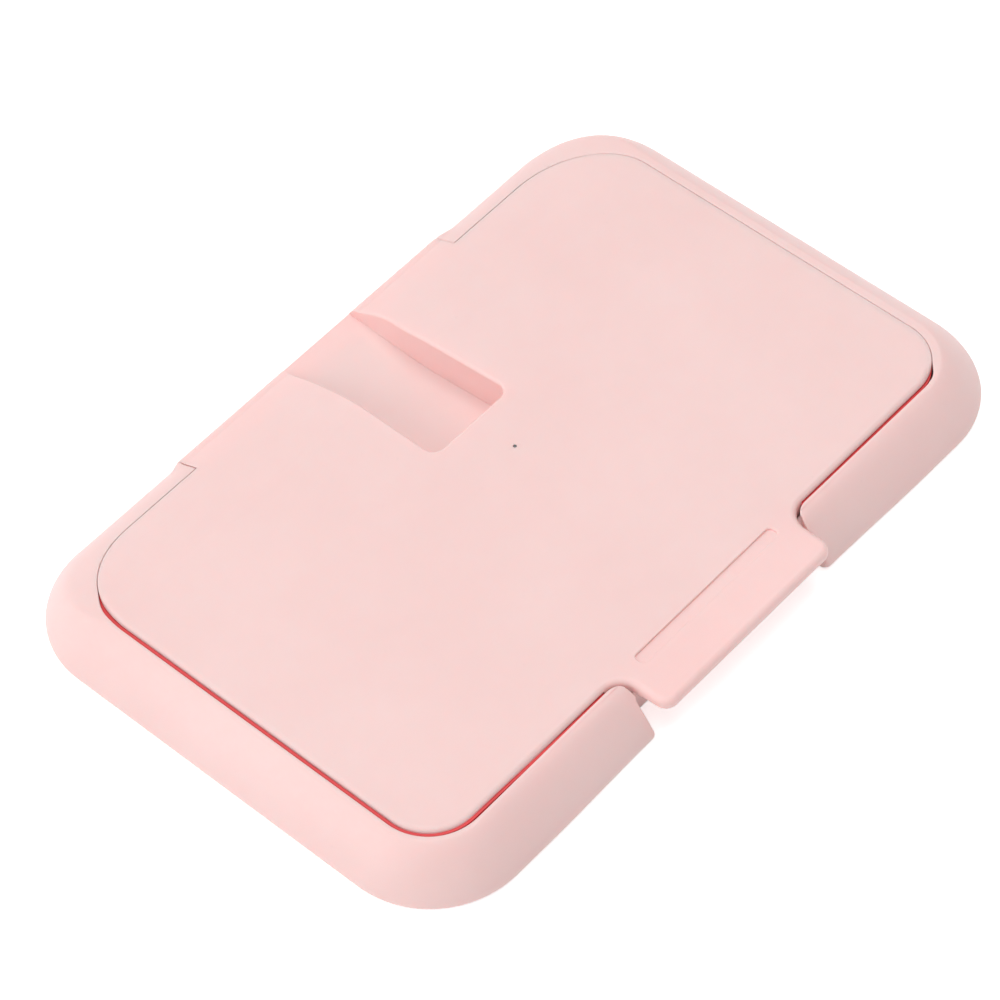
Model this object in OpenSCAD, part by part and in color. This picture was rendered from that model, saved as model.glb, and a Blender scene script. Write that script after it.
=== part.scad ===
// Warmer lid unit for a soft pack of baby wipes: a domed rim frame with a flush, heated flip lid.
// X runs along the long side, the lift tab is at the front (-Y), the hinge at the rear (+Y),
// and the underside lies on Z = 0. The origin is the centre of the rim frame's underside.

/* [Overall] */
// Length of the rim frame along X
body_l = 190; // [165:1:228]
// Depth of the rim frame along Y
body_w = 126.8; // [116:0.2:154]
// Height from the underside to the flat top
body_h = 12.4; // [11.8:0.1:15]
// Plan radius of the outer corners
corner_r = 22.9; // [18:0.1:28]

/* [Rim] */
// Plan width of the domed part of the rim
dome_w = 9.3; // [8:0.1:11]
// Power of the dome's curve, where 1 is a straight slope and 2 an ellipse
dome_power = 1.29; // [1.15:0.01:2]
// Rounding along the bottom edge
foot_r = 1.5; // [0.8:0.1:2]
// Flat land between the dome and the seam
land_w = 0.8; // [0.4:0.1:2]
// Wall of the rim frame
rim_wall = 1.8; // [1.4:0.1:2.1]
// Plan width of the rim behind the lid
rear_band = 6.2; // [5.8:0.1:7]
// Plan radius of the rim's rear inner corners
rear_corner_r = 22; // [14:0.5:26]

/* [Rear fall] */
// Plan length over which the top falls to the hinge side
fall_w = 26; // [20:0.5:34]
// How far the fall's end lies past the rear edge
fall_over = 0.6; // [0.4:0.1:1]
// Height that the top loses over the fall
fall_drop = 9.6; // [8:0.1:9.8]
// Power of the fall's curve
fall_power = 1.4; // [1.2:0.05:2]

/* [Lid] */
// Gap of the seam between lid and rim
seam_gap = 1; // [0.6:0.1:1.5]
// Wall of the lid shell
lid_wall = 1.8; // [1.5:0.1:2.2]
// Wall of the lid's skirt beside the liner
skirt_wall = 1; // [0.8:0.1:1.3]
// Rounding along the lid's top edge
lid_edge_r = 1.4; // [0.8:0.1:2]
// Height of the lid's lower face above the underside
lid_rise = 1.7; // [1.6:0.05:2]
// Thickness of the liner
liner_t = 1.2; // [1:0.1:1.5]
// Thickness of the liner's gasket
gasket_t = 0.4; // [0.3:0.1:0.8]

/* [Lift tab] */
// Width of the rim's front gap
gap_w = 56; // [40:1:70]
// Plan radius at the inner corners of the front gap
gap_root_r = 4; // [3:0.5:5]
// How far the tab reaches past the rim's front edge
tab_reach = 1.7; // [0.5:0.1:4]
// Thickness of the tab
tab_t = 3; // [2.4:0.1:3.6]
// Plan radius of the tab's outer corners
tab_corner_r = 3; // [1.5:0.5:5]
// Rounding along the tab's lower edges
tab_edge_r = 1; // [0.4:0.1:1.2]
// Length of the groove at the tab's root
groove_l = 44; // [24:1:48]
// Width of the groove
groove_w = 2.9; // [2:0.1:4]
// Depth of the groove at its inner side
groove_d = 0.8; // [0.4:0.1:1.2]
// Width of the snap hook under the tab
hook_w = 18; // [10:1:30]
// Thickness of the snap hook
hook_t = 1.3; // [1:0.1:1.6]

/* [Plug recess] */
// Width of the recess at its inner end
recess_w = 23.6; // [18:0.1:30]
// Width of the recess at the hinge edge
recess_mouth_w = 22.3; // [17:0.1:29]
// Offset of the recess's left wall from the centre
recess_left = 8.6; // [6:0.1:12]
// Place of the recess's inner end, in front of the hinge axis
recess_l = 44.2; // [36:0.1:50]
// Height of the recess floor above the underside
recess_floor = 2.7; // [2.6:0.05:3.2]
// Plan radius of the recess's inner corners
recess_corner_r = 2.8; // [1.5:0.1:4]

/* [Hinge] */
// Length of the lid's hinge part
hinge_l = 83; // [70:1:100]
// Radius of the hinge barrel
barrel_r = 2.8; // [2.5:0.1:3]
// Height of the hinge axis
hinge_z = 3; // [2.9:0.05:3.2]
// Distance of the hinge axis from the rear edge
hinge_in = 3.2; // [3:0.1:3.5]
// Gap between the hinge part and the rim's ends
hinge_gap = 0.8; // [0.4:0.1:1.2]
// Radius of the hinge pins
pin_r = 1; // [0.8:0.05:1.2]
// Length of a hinge pin held in the rim
pin_in_rim = 7.5; // [5:0.5:9]
// Length of a hinge pin that the lid turns on
pin_in_lid = 5; // [4:0.5:8]
// Radial clearance between pin and barrel
pin_fit = 0.05; // [0.02:0.01:0.09]

/* [Base plate] */
// Thickness of the base plate
plate_t = 1.2; // [1:0.1:1.3]
// Length of the wipe window
window_l = 92; // [70:1:96]
// Width of the wipe window
window_w = 32; // [24:1:34]
// Corner radius of the wipe window
window_r = 12; // [6:0.5:16]
// Width of the adhesive ring
adhesive_w = 8; // [5:0.5:9]
// Thickness of the adhesive ring
adhesive_t = 0.5; // [0.3:0.1:0.6]

/* [Heater] */
// Length of the warming pan
pan_l = 99.6; // [80:0.2:104]
// Width of the warming pan
pan_w = 39.6; // [30:0.2:42]
// Sheet thickness of the warming pan
pan_t = 0.8; // [0.6:0.1:1]
// Width of the pan's flange
flange_w = 2.2; // [1.5:0.1:3]
// Thickness of the heating film
film_t = 0.2; // [0.15:0.05:0.3]
// Thickness of the insulation pad
pad_t = 2.5; // [1.5:0.1:4]

/* [Electronics] */
// Length of the control board
board_l = 60; // [50:1:70]
// Width of the control board
board_w = 12.4; // [11.5:0.1:12.6]
// Thickness of the control board
board_t = 1; // [0.8:0.1:1.6]
// Height of the control board's upper face
board_top = 4.95; // [4.8:0.05:5.3]
// Width, height and length of the power socket's shell
socket_size = [8.9, 3.2, 7.4];
// Diameter of the indicator's pinhole in the lid
pinhole_d = 0.8; // [0.6:0.1:1.5]

/* [Screws] */
// Radius of the screw heads
head_r = 1.9; // [1.7:0.1:2.2]
// Radius of the screw shanks
shank_r = 0.9; // [0.7:0.05:1]
// Wall round a screw's hole
boss_wall = 1.3; // [1:0.1:1.5]

/* [Hidden] */
$fn = 64;

// Clearances and small allowances
cut = 1;             // how far a cutter runs past the face that it opens
fit = 0.1;           // gap round a plate in its seat
body_gap = 0.3;      // gap between the lid and the base where they meet
lap = 0.6;           // how far an edge strip laps over the slab's core
curve_steps = 12;    // steps of the dome's and the fall's curves
foot_steps = 4;      // steps of the rounding along the bottom edge
lid_edge_steps = 6;  // steps of the rounding along the lid's top edge

// Rim and well
rim_band = dome_w + land_w;
half_l = body_l / 2;
half_w = body_w / 2;
well_x = half_l - rim_band;
well_front = -(half_w - rim_band);
well_rear = half_w - rear_band;
well_front_r = corner_r - rim_band;

// Rear fall
fall_end = half_w + fall_over;
fall_start = fall_end - fall_w;

// Hinge
hinge_y = half_w - hinge_in;
hinge_half = hinge_l / 2;
ear_x = hinge_half + hinge_gap;
ear_l = pin_in_rim + 2;
swing_steps = 10;    // steps of the lid's swing relief round a rear corner
swing_end = 80;      // how far round the corner the relief runs
relief_r = swing_radius(0);

// Lid
lid_x = well_x - seam_gap;
lid_front = well_front + seam_gap;
lid_rear = well_rear - seam_gap;
lid_front_r = well_front_r - seam_gap;
lid_rear_r = rear_corner_r - seam_gap;
room_rear = hinge_y - relief_r;
liner_top = lid_rise + liner_t;
shelf_z = liner_top + gasket_t;
ceiling = body_h - lid_wall;

// Lift tab
gap_half = gap_w / 2;
gap_centre = [gap_half + gap_root_r, well_front - gap_root_r];
tab_front = -(half_w + tab_reach);
tab_under = body_h - tab_t;
wall_top = tab_under - body_gap;
tab_edge_h = 0.7 * (tab_t - lid_edge_r);  // height of the rounding along its lower edges
groove_in = 0.8;      // how far the groove's inner side lies behind the lid's front edge
groove_end_r = 1.15;  // rounding at the groove's ends
groove_y = lid_front + groove_in;
hook_nose = 0.55;     // how far the hook's nose stands out
hook_tip = 1.6;       // height of the hook below the catch rib
hook_chamfer = 1;     // height of the slope under the nose
catch_h = 0.8;        // height of the catch rib
catch_z = 7;          // height of its underside
catch_out = 0.5;      // how far it stands out of the wall
catch_side = 1;       // how far it is longer than the hook at each end

// Plug recess
recess_y = hinge_y - recess_l;
recess_x0 = -recess_left;
recess_mid = recess_x0 + recess_w / 2;
recess_taper_y = recess_y + recess_l / 2;

// Seam seal
seal_depth = 1;      // how far the seal's top lies below the lid's surface
seal_h = 1.4;
seal_out = 0.6;
seal_in = 0.8;
seal_end = fall_start + 8;

// Seals and tape round the wipe window
seal_from = 1.2;     // distance of the window seal from the window's edge
seal_w = 1.6;        // width of the window seal
seal_seat = 0.5;     // depth of its seat in the base plate
tape_from = 4;       // distance of the adhesive ring from the window's edge

// Ribs under the lid's top
rib_t = 1;
rib_h = 1.6;
rib_at = [32, 62];   // ribs along Y, on both sides
rib_y = fall_start - 14;

// Heater
pan_floor = lid_rise + pan_t;
film_top = pan_floor + film_t;
terminal_strip = 5;  // strip of the film that the pad leaves free

// Control board
board_back = recess_y - lid_wall - 0.2;
board_front = board_back - board_w;
board_mid = board_back - board_w / 2;
board_under = board_top - board_t;
socket_z = board_top + socket_size[1] / 2;
socket_mouth = recess_y - 0.8;
shell_t = 0.35;      // sheet thickness of the socket's shell
tongue = [6.4, 0.7]; // width and thickness of the socket's tongue
post_in = 3;         // distance of the board's screws from its ends
post_x = board_l / 2 - post_in;
led = [recess_mid + 0.9, board_back - 9.7];
led_size = [1.6, 0.8, 0.6];
chip_size = [5, 5, 0.9];
chip_x = 13.5;       // places of the board's parts along X, from the recess's middle
switch_x = -10;
cap_x = 18;
cap_size = [1.6, 3.2, 1.4];
cap_pitch = 2.4;
pipe_r = 1;
lead_r = 0.6;
lead_red_x = recess_mid - 18;
lead_black_x = recess_mid - 22;
fuse_x = recess_mid - 11;
sensor_x = recess_mid + 14;
board_edge = 1.6;    // distance of the wires' pads from the board's front edge

// Place of the heater and the wipe window, in front of the board
board_clear = 1.6;   // plan gap between the board and the pan's flange
heater_y = board_front - board_clear - flange_w - pan_w / 2;
terminal_y = heater_y + pan_w / 2 - pan_t - terminal_strip / 2;

// Screws
pilot_fit = 0.02;
head_h = head_r - shank_r;
base_screw_l = 5.2;
liner_screw_l = 6;
rear_screw_out = 4.6;
base_screw_at = [
    [half_l - rim_band / 2, 24],
    [half_l - rim_band / 2, -24],
    [gap_half + 20, -(half_w - rim_band / 2)],
    corner_point(45) + rear_screw_out * [sin(45), cos(45)]
];
liner_screw_at = [
    [lid_x - 9, lid_front + 9],
    [lid_x - 9, fall_start + 1],
    [recess_w + 10, room_rear - 8]
];

// Height of the top surface at a given Y
function fall_height(y) =
    let (s = min(1, max(0, (y - fall_start) / fall_w)))
    body_h - fall_drop * (1 - pow(1 - pow(s, fall_power), 1 / fall_power));

// Point of the rim's rear inner corner, at an angle from the straight rear side
function corner_point(angle) = [
    well_x - rear_corner_r + rear_corner_r * sin(angle),
    well_rear - rear_corner_r + rear_corner_r * cos(angle)
];

// Radius about the hinge that clears the rim's upper edge at that point
function swing_radius(angle) =
    let (y = corner_point(angle)[1])
    norm([y - hinge_y, fall_height(y) - hinge_z]) + body_gap + 0.05;

// Points of a quarter superellipse, from [0, h] out to [w, 0]
function quarter_curve(w, h, power, steps) = [
    for (i = [0:steps])
        let (t = 90 * i / steps)
        [w * pow(sin(t), 2 / power), h * pow(cos(t), 2 / power)]
];

// Section of a slab's edge: X is the distance outwards from where the curve starts
module edge_section(w, top, power, sill, low, steps) {
    curve = quarter_curve(w, top - sill, power, steps);
    foot = sill - low;
    bottom = foot > w
        ? [[w, low]]
        : [for (i = [0:foot_steps - 1])
            [w - foot + foot * sin(90 * i / foot_steps), sill - foot * cos(90 * i / foot_steps)]];
    outer = [for (i = [len(curve) - 1:-1:0]) [curve[i][0], sill + curve[i][1]]];
    polygon(concat([[-lap, low]], bottom, outer, [[-lap, top]]));
}

// Rectangle from y0 to y1, x either side of the middle, with its front and rear corners rounded
module round_area(x, y0, y1, front_r, rear_r) {
    for (side = [-1, 1]) {
        translate([side * (x - front_r), y0 + front_r])
            circle(front_r);
        translate([side * (x - rear_r), y1 - rear_r])
            circle(rear_r);
    }
    polygon([
        [-(x - front_r), y0], [x - front_r, y0], [x, y0 + front_r], [x, y1 - rear_r],
        [x - rear_r, y1], [-(x - rear_r), y1], [-x, y1 - rear_r], [-x, y0 + front_r]
    ]);
}

// Slab with a rounded rectangle for its plan and a curved section along its edges
module edged_slab(x, y0, y1, front_r, rear_r, w, top, power, sill, low, steps) {
    translate([0, 0, low])
        linear_extrude(top - low)
            round_area(x - w, y0 + w, y1 - w, front_r - w, rear_r - w);
    translate([x - front_r, y0 + w, 0])
        rotate([90, 0, -90])
            linear_extrude(2 * (x - front_r))
                edge_section(w, top, power, sill, low, steps);
    translate([-(x - rear_r), y1 - w, 0])
        rotate([90, 0, 90])
            linear_extrude(2 * (x - rear_r))
                edge_section(w, top, power, sill, low, steps);
    for (side = [0, 1])
        mirror([side, 0, 0]) {
            translate([x - w, y1 - rear_r, 0])
                rotate([90, 0, 0])
                    linear_extrude(y1 - rear_r - y0 - front_r)
                        edge_section(w, top, power, sill, low, steps);
            translate([x - rear_r, y1 - rear_r, 0])
                rotate_extrude(angle = 90)
                    translate([rear_r - w, 0])
                        edge_section(w, top, power, sill, low, steps);
            translate([x - front_r, y0 + front_r, 0])
                rotate([0, 0, -90])
                    rotate_extrude(angle = 90)
                        translate([front_r - w, 0])
                            edge_section(w, top, power, sill, low, steps);
        }
}

// Everything under the top surface, which falls to the hinge side
module under_fall(drop) {
    fall = quarter_curve(fall_w, fall_drop, fall_power, curve_steps);
    translate([0, 0, -drop])
        rotate([90, 0, 90])
            linear_extrude(body_l + 2 * cut, center = true)
                polygon(concat(
                    [[-body_w, -body_h], [fall_end, -body_h]],
                    [for (i = [len(fall) - 1:-1:0])
                        [fall_start + fall[i][0], body_h - fall_drop + fall[i][1]]],
                    [[-body_w, body_h]]
                ));
}

// A block from one corner to the opposite one
module block(from, to) {
    translate(from)
        cube(to - from);
}

// A bar along X, centred on the hinge axis
module hinge_bar(r, from_x, to_x) {
    translate([from_x, hinge_y, hinge_z])
        rotate([0, 90, 0])
            cylinder(r = r, h = to_x - from_x);
}

// The space that the rim needs as the lid swings past it, revolved about the hinge axis
module swing_relief() {
    angles = [for (i = [0:swing_steps]) swing_end * i / swing_steps];
    for (side = [0, 1])
        mirror([side, 0, 0])
            translate([0, hinge_y, hinge_z])
                rotate([0, 90, 0])
                    rotate_extrude()
                        polygon(concat(
                            [[0, hinge_half], [relief_r, hinge_half]],
                            [for (a = angles) [swing_radius(a), corner_point(a)[0]]],
                            [[0, corner_point(swing_end)[0]]]
                        ));
}

// Outer form of the rim frame, set in by a wall, open below when the foot isn't rounded
module rim_form(inset, low) {
    intersection() {
        edged_slab(
            half_l - inset, -(half_w - inset), half_w - inset, corner_r - inset, corner_r - inset,
            dome_w, body_h - inset, dome_power, foot_r, low, curve_steps
        );
        under_fall(inset);
    }
}

// Plan of the rim's well, grown by a wall
module well_area(grow) {
    round_area(
        well_x + grow, well_front - grow, well_rear + grow,
        well_front_r + grow, rear_corner_r + grow
    );
}

// Plan of the front gap, or of the tab when it is set in by the seam's gap
module gap_area(inset, front) {
    difference() {
        translate([-gap_centre[0], front])
            square([2 * gap_centre[0], well_front + 2 * cut - front]);
        for (side = [-1, 1]) {
            translate([side * gap_centre[0], gap_centre[1]])
                circle(gap_root_r + inset);
            translate([side * (gap_half - inset + body_w / 2), (front - cut + gap_centre[1]) / 2])
                square([body_w, gap_centre[1] - front + cut], center = true);
        }
    }
}

// Plan of the base plate
module plate_area(inset) {
    difference() {
        round_area(
            half_l - rim_wall - inset, -(half_w - rim_wall - inset), half_w - rim_wall - inset,
            corner_r - rim_wall - inset, corner_r - rim_wall - inset
        );
        translate([-(gap_half + rim_wall + inset), -body_w])
            square([2 * (gap_half + rim_wall + inset), body_w + well_front + inset]);
        translate([-(ear_x + ear_l + inset), well_rear - inset])
            square([2 * (ear_x + ear_l + inset), body_w]);
    }
}

// Copies of a child at each of the screws' places, left and right
module at_screws(places) {
    for (place = places, side = [-1, 1])
        translate([side * place[0], place[1], 0])
            children();
}

// A countersunk screw whose head lies flush at Z = low, or its hole when it is grown
module screw(low, length, grow) {
    translate([0, 0, low]) {
        cylinder(r1 = head_r + grow, r2 = shank_r + grow, h = head_h);
        cylinder(r = shank_r + grow, h = length + grow);
    }
}

// Domed rim moulding: skin, inner wall, front gap and hinge ears
module rim_frame() {
    color([0.97, 0.8, 0.78])
        difference() {
            union() {
                difference() {
                    rim_form(0, 0);
                    rim_cavity();
                }
                intersection() {
                    rim_form(0, 0);
                    at_screws(base_screw_at)
                        cylinder(r = shank_r + boss_wall, h = body_h);
                }
                catch_rib();
            }
            translate([0, 0, -cut])
                linear_extrude(body_h + 2 * cut)
                    well_area(0);
            front_gap();
            block([-ear_x, well_rear - rim_band, -cut], [ear_x, half_w + cut, body_h]);
            translate([0, 0, -cut])
                linear_extrude(plate_t + cut)
                    plate_area(0);
            at_screws(base_screw_at)
                screw(0, base_screw_l, pilot_fit);
            for (side = [0, 1])
                mirror([side, 0, 0])
                    hinge_bar(pin_r + pilot_fit, ear_x - cut, ear_x + pin_in_rim + 0.3);
        }
}

// Hollow between the rim's skin and its inner wall
module rim_cavity() {
    difference() {
        rim_form(rim_wall, -body_h);
        translate([0, 0, -body_h - cut])
            linear_extrude(2 * body_h + 2 * cut)
                well_area(rim_wall);
        block(
            [-(gap_half + rim_wall), -body_w, -body_h - cut],
            [gap_half + rim_wall, well_front, body_h]
        );
        block([-(ear_x + ear_l), 0, -body_h - cut], [ear_x + ear_l, body_w, body_h]);
    }
}

// The front gap: open outside the inner wall, and down to the wall's top over it
module front_gap() {
    block(
        [-gap_half, -body_w, -cut],
        [gap_half, well_front - rim_wall - catch_out, body_h + cut]
    );
    difference() {
        block([-gap_half, well_front - rim_wall - catch_out, -cut], [gap_half, well_front - rim_wall, body_h]);
        catch_rib();
    }
    translate([0, 0, wall_top])
        linear_extrude(body_h)
            gap_area(0, -body_w);
}

// Rib on the inner wall that the tab's hook holds under
module catch_rib() {
    block(
        [-hook_w / 2 - catch_side, well_front - rim_wall - catch_out, catch_z],
        [hook_w / 2 + catch_side, well_front - rim_wall, catch_z + catch_h]
    );
}

// Plan of the wipe window, grown by a margin
module window_area(grow) {
    translate([0, heater_y])
        round_area(
            window_l / 2 + grow, -window_w / 2 - grow, window_w / 2 + grow,
            window_r + grow, window_r + grow
        );
}

// A flat ring round the wipe window
module window_ring(inner, outer, low, high) {
    translate([0, 0, low])
        linear_extrude(high - low)
            difference() {
                window_area(outer);
                window_area(inner);
            }
}

// Floor moulding that closes the rim frame from below
module base_plate() {
    color([0.95, 0.77, 0.75])
        difference() {
            linear_extrude(plate_t)
                difference() {
                    plate_area(fit);
                    window_area(0);
                }
            window_ring(tape_from, tape_from + adhesive_w, -cut, adhesive_t);
            window_ring(seal_from, seal_from + seal_w, plate_t - seal_seat, plate_t + cut);
            at_screws(base_screw_at)
                screw(0, base_screw_l, pilot_fit);
        }
}

// Silicone ring that meets the lid round the wipe window
module window_seal() {
    color([0.86, 0.3, 0.3])
        window_ring(seal_from, seal_from + seal_w, plate_t - seal_seat, lid_rise - body_gap);
}

// Foam tape that holds the unit on the pack
module adhesive_ring() {
    color([0.93, 0.93, 0.9])
        window_ring(tape_from, tape_from + adhesive_w, 0, adhesive_t);
}

// Steel pins, each held in the rim and running in the lid
module hinge_pins() {
    color([0.75, 0.75, 0.77])
        for (side = [0, 1])
            mirror([side, 0, 0])
                hinge_bar(pin_r, hinge_half - pin_in_lid, ear_x + pin_in_rim);
}

// Countersunk screws that hold the base plate
module base_screws() {
    color([0.7, 0.7, 0.72])
        at_screws(base_screw_at)
            screw(0, base_screw_l, 0);
}

// Plan of the room inside the lid, set in by a wall from its outline and from the recess
module room_area(inset) {
    difference() {
        round_area(
            lid_x - inset, lid_front + inset, room_rear - inset,
            lid_front_r - inset, lid_rear_r - inset
        );
        translate([recess_x0 - inset, recess_y - inset])
            square([recess_w + 2 * inset, body_w]);
    }
}

// Plan of the plug recess, with its inner corners rounded
module recess_area() {
    difference() {
        polygon([
            [recess_x0, recess_y], [recess_x0 + recess_w, recess_y],
            [recess_x0 + recess_w, recess_y + recess_corner_r],
            [recess_x0 + recess_mouth_w, recess_taper_y],
            [recess_x0 + recess_mouth_w, body_w], [recess_x0, body_w]
        ]);
        for (side = [-1, 1])
            translate([recess_mid + side * recess_w / 2, recess_y])
                difference() {
                    square(2 * recess_corner_r, center = true);
                    translate([-side * recess_corner_r, recess_corner_r])
                        circle(recess_corner_r);
                }
    }
}

// Strip along the lid's side that holds the seal, at a steady depth below the top surface
module seal_band(grow) {
    difference() {
        intersection() {
            translate([0, 0, lid_rise])
                linear_extrude(body_h)
                    round_area(
                        lid_x + seal_out, lid_front - seal_out, lid_rear + seal_out,
                        lid_front_r + seal_out, lid_rear_r + seal_out
                    );
            under_fall(seal_depth - grow);
            block([-half_l, -half_w, 0], [half_l, seal_end + grow, body_h]);
        }
        translate([0, 0, lid_rise - cut])
            linear_extrude(body_h)
                round_area(
                    lid_x - seal_in - grow, lid_front + seal_in + grow, lid_rear - seal_in - grow,
                    lid_front_r - seal_in - grow, lid_rear_r - seal_in - grow
                );
        under_fall(seal_depth + seal_h + grow);
        swing_relief();
        block(
            [-(gap_centre[0] - grow), -body_w, -cut],
            [gap_centre[0] - grow, lid_front + seal_in + cut, body_h + cut]
        );
    }
}

// Coral strip round the lid's side, seen down in the seam
module seam_seal() {
    color([0.85, 0.3, 0.3])
        seal_band(0);
}

// Section of a cutter that rounds both edges of the tab: X past r is the distance into the tab
module tab_cutter_section(r) {
    upper = quarter_curve(lid_edge_r, lid_edge_r, 2, lid_edge_steps);
    lower = quarter_curve(tab_edge_r, tab_edge_h, 2, lid_edge_steps);
    polygon(concat(
        [[0, tab_under - cut], [r + tab_edge_r, tab_under - cut]],
        [for (p = lower) [r + tab_edge_r - p[0], tab_under + tab_edge_h - p[1]]],
        [for (i = [len(upper) - 1:-1:0])
            [r + lid_edge_r - upper[i][0], body_h - lid_edge_r + upper[i][1]]],
        [[r + lid_edge_r, body_h + cut], [0, body_h + cut]]
    ));
}

// Takes what lies outside the tab's outline off a block, and rounds the tab's edges
module tab_outside() {
    side_x = gap_half - seam_gap;
    corner = max(tab_corner_r, lid_edge_r);
    for (side = [0, 1])
        mirror([side, 0, 0]) {
            translate([gap_centre[0], gap_centre[1], 0])
                rotate_extrude()
                    tab_cutter_section(gap_root_r + seam_gap);
            translate([side_x + corner, gap_centre[1], 0])
                rotate([90, 0, 0])
                    linear_extrude(gap_centre[1] - tab_front - corner)
                        mirror([1, 0, 0])
                            tab_cutter_section(corner);
            translate([side_x - corner, tab_front + corner, 0])
                rotate([0, 0, -90])
                    rotate_extrude(angle = 90)
                        translate([2 * corner, 0])
                            mirror([1, 0, 0])
                                tab_cutter_section(corner);
            block(
                [side_x + corner / 2, tab_front - cut, 0],
                [gap_centre[0] + cut, gap_centre[1], body_h + cut]
            );
        }
    translate([corner - side_x, tab_front - corner, 0])
        rotate([90, 0, 90])
            linear_extrude(2 * (side_x - corner))
                tab_cutter_section(corner);
}

// Lift tab with the snap hook
module lift_tab() {
    difference() {
        block(
            [-gap_centre[0], tab_front, tab_under],
            [gap_centre[0], lid_front + lid_edge_r, body_h]
        );
        tab_outside();
    }
    hook();
}

// Groove at the tab's root: a step down at its inner side and a ramp back up
module tab_groove() {
    intersection() {
        rotate([90, 0, 90])
            linear_extrude(groove_l, center = true)
                polygon([
                    [groove_y, body_h + cut], [groove_y, body_h - groove_d],
                    [groove_y - groove_w, body_h], [groove_y - groove_w, body_h + cut]
                ]);
        translate([0, 0, tab_under])
            linear_extrude(tab_t + 2 * cut)
                round_area(
                    groove_l / 2, groove_y - groove_w, groove_y, groove_end_r, groove_end_r
                );
    }
}

// Snap hook that hangs from the tab and holds under the catch rib
module hook() {
    leg_y = well_front - rim_wall - catch_out - body_gap;
    nose_top = catch_z - body_gap;
    rotate([90, 0, 90])
        linear_extrude(hook_w, center = true)
            polygon([
                [leg_y - hook_t, tab_under + lap], [leg_y - hook_t, nose_top - hook_tip],
                [leg_y, nose_top - hook_tip], [leg_y + hook_nose, nose_top - hook_tip + hook_chamfer],
                [leg_y + hook_nose, nose_top], [leg_y, nose_top], [leg_y, tab_under + lap]
            ]);
}

// Outer form of the lid: slab, hinge part, barrel and tab
module lid_form() {
    difference() {
        intersection() {
            edged_slab(
                lid_x, lid_front, lid_rear, lid_front_r, lid_rear_r,
                lid_edge_r, body_h, 2, body_h - lid_edge_r, lid_rise, lid_edge_steps
            );
            under_fall(0);
        }
        swing_relief();
    }
    intersection() {
        under_fall(0);
        block([-hinge_half, fall_start, lid_rise], [hinge_half, hinge_y, body_h]);
    }
    hinge_bar(barrel_r, -hinge_half, hinge_half);
    lift_tab();
}

// Ribs that stiffen the lid's top from inside
module lid_ribs() {
    low = ceiling - rib_h;
    intersection() {
        union() {
            for (x = rib_at, side = [-1, 1])
                block(
                    [side * x - rib_t / 2, lid_front + skirt_wall, low],
                    [side * x + rib_t / 2, room_rear, body_h]
                );
            for (side = [0, 1])
                mirror([side, 0, 0])
                    block([recess_w, rib_y - rib_t / 2, low], [lid_x - skirt_wall, rib_y + rib_t / 2, body_h]);
        }
        under_fall(lid_wall / 2);
    }
}

// Room inside the lid, above the liner's seat
module lid_room() {
    translate([0, 0, lid_rise - cut])
        linear_extrude(shelf_z - lid_rise + cut)
            room_area(skirt_wall);
    intersection() {
        translate([0, 0, lid_rise])
            linear_extrude(body_h)
                room_area(lid_wall);
        under_fall(lid_wall);
    }
}

// Bosses, posts and the light pipe's sleeve inside the lid
module lid_bosses() {
    intersection() {
        union() {
            at_screws(liner_screw_at)
                translate([0, 0, liner_top])
                    cylinder(r = shank_r + boss_wall, h = body_h);
            for (side = [-1, 1])
                translate([recess_mid + side * post_x, board_mid, board_top])
                    cylinder(r = shank_r + boss_wall, h = body_h);
            translate([led[0], led[1], board_top + 2.5])
                cylinder(r = pipe_r + 1, h = body_h);
        }
        under_fall(lid_wall / 2);
    }
}

// Top moulding of the lid
module lid_shell() {
    color([0.98, 0.84, 0.82])
        difference() {
            union() {
                difference() {
                    lid_form();
                    lid_room();
                }
                lid_bosses();
                lid_ribs();
            }
            tab_groove();
            translate([0, 0, recess_floor])
                linear_extrude(body_h)
                    recess_area();
            seal_band(fit / 2);
            socket_opening();
            translate([led[0], led[1], 0]) {
                cylinder(r = pipe_r + fit / 2, h = ceiling + 0.8);
                cylinder(d = pinhole_d + fit, h = body_h + cut);
            }
            at_screws(liner_screw_at)
                screw(lid_rise, liner_screw_l, pilot_fit);
            for (side = [-1, 1])
                translate([recess_mid + side * post_x, board_mid, board_under])
                    cylinder(r = shank_r + pilot_fit, h = liner_screw_l);
            for (side = [0, 1])
                mirror([side, 0, 0])
                    hinge_bar(pin_r + pin_fit, hinge_half - pin_in_lid - 0.3, hinge_half + cut);
        }
}

// Opening for the power socket in the recess's end wall
module socket_opening() {
    translate([recess_mid, recess_y + cut, socket_z])
        rotate([90, 0, 0])
            linear_extrude(lid_wall + 2 * cut)
                socket_area(fit);
}

// Section of the power socket's shell, with round ends
module socket_area(grow) {
    r = socket_size[1] / 2 + grow;
    for (side = [-1, 1])
        translate([side * (socket_size[0] - socket_size[1]) / 2, 0])
            circle(r);
    square([socket_size[0] - socket_size[1], 2 * r], center = true);
}

// Closing plate under the lid, with a window for the warming pan
module lid_liner() {
    color([0.95, 0.77, 0.75])
        difference() {
            translate([0, 0, lid_rise])
                linear_extrude(liner_t)
                    difference() {
                        room_area(skirt_wall + fit);
                        pan_area(fit);
                    }
            at_screws(liner_screw_at)
                screw(lid_rise, liner_screw_l, pilot_fit);
        }
}

// Gasket between the liner and the lid's shelf
module liner_gasket() {
    color([0.86, 0.3, 0.3])
        translate([0, 0, liner_top])
            linear_extrude(gasket_t)
                difference() {
                    room_area(skirt_wall + 2 * fit);
                    room_area(lid_wall + 1);
                }
}

// Countersunk screws that hold the liner
module liner_screws() {
    color([0.7, 0.7, 0.72])
        at_screws(liner_screw_at)
            screw(lid_rise, liner_screw_l, 0);
}

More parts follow.
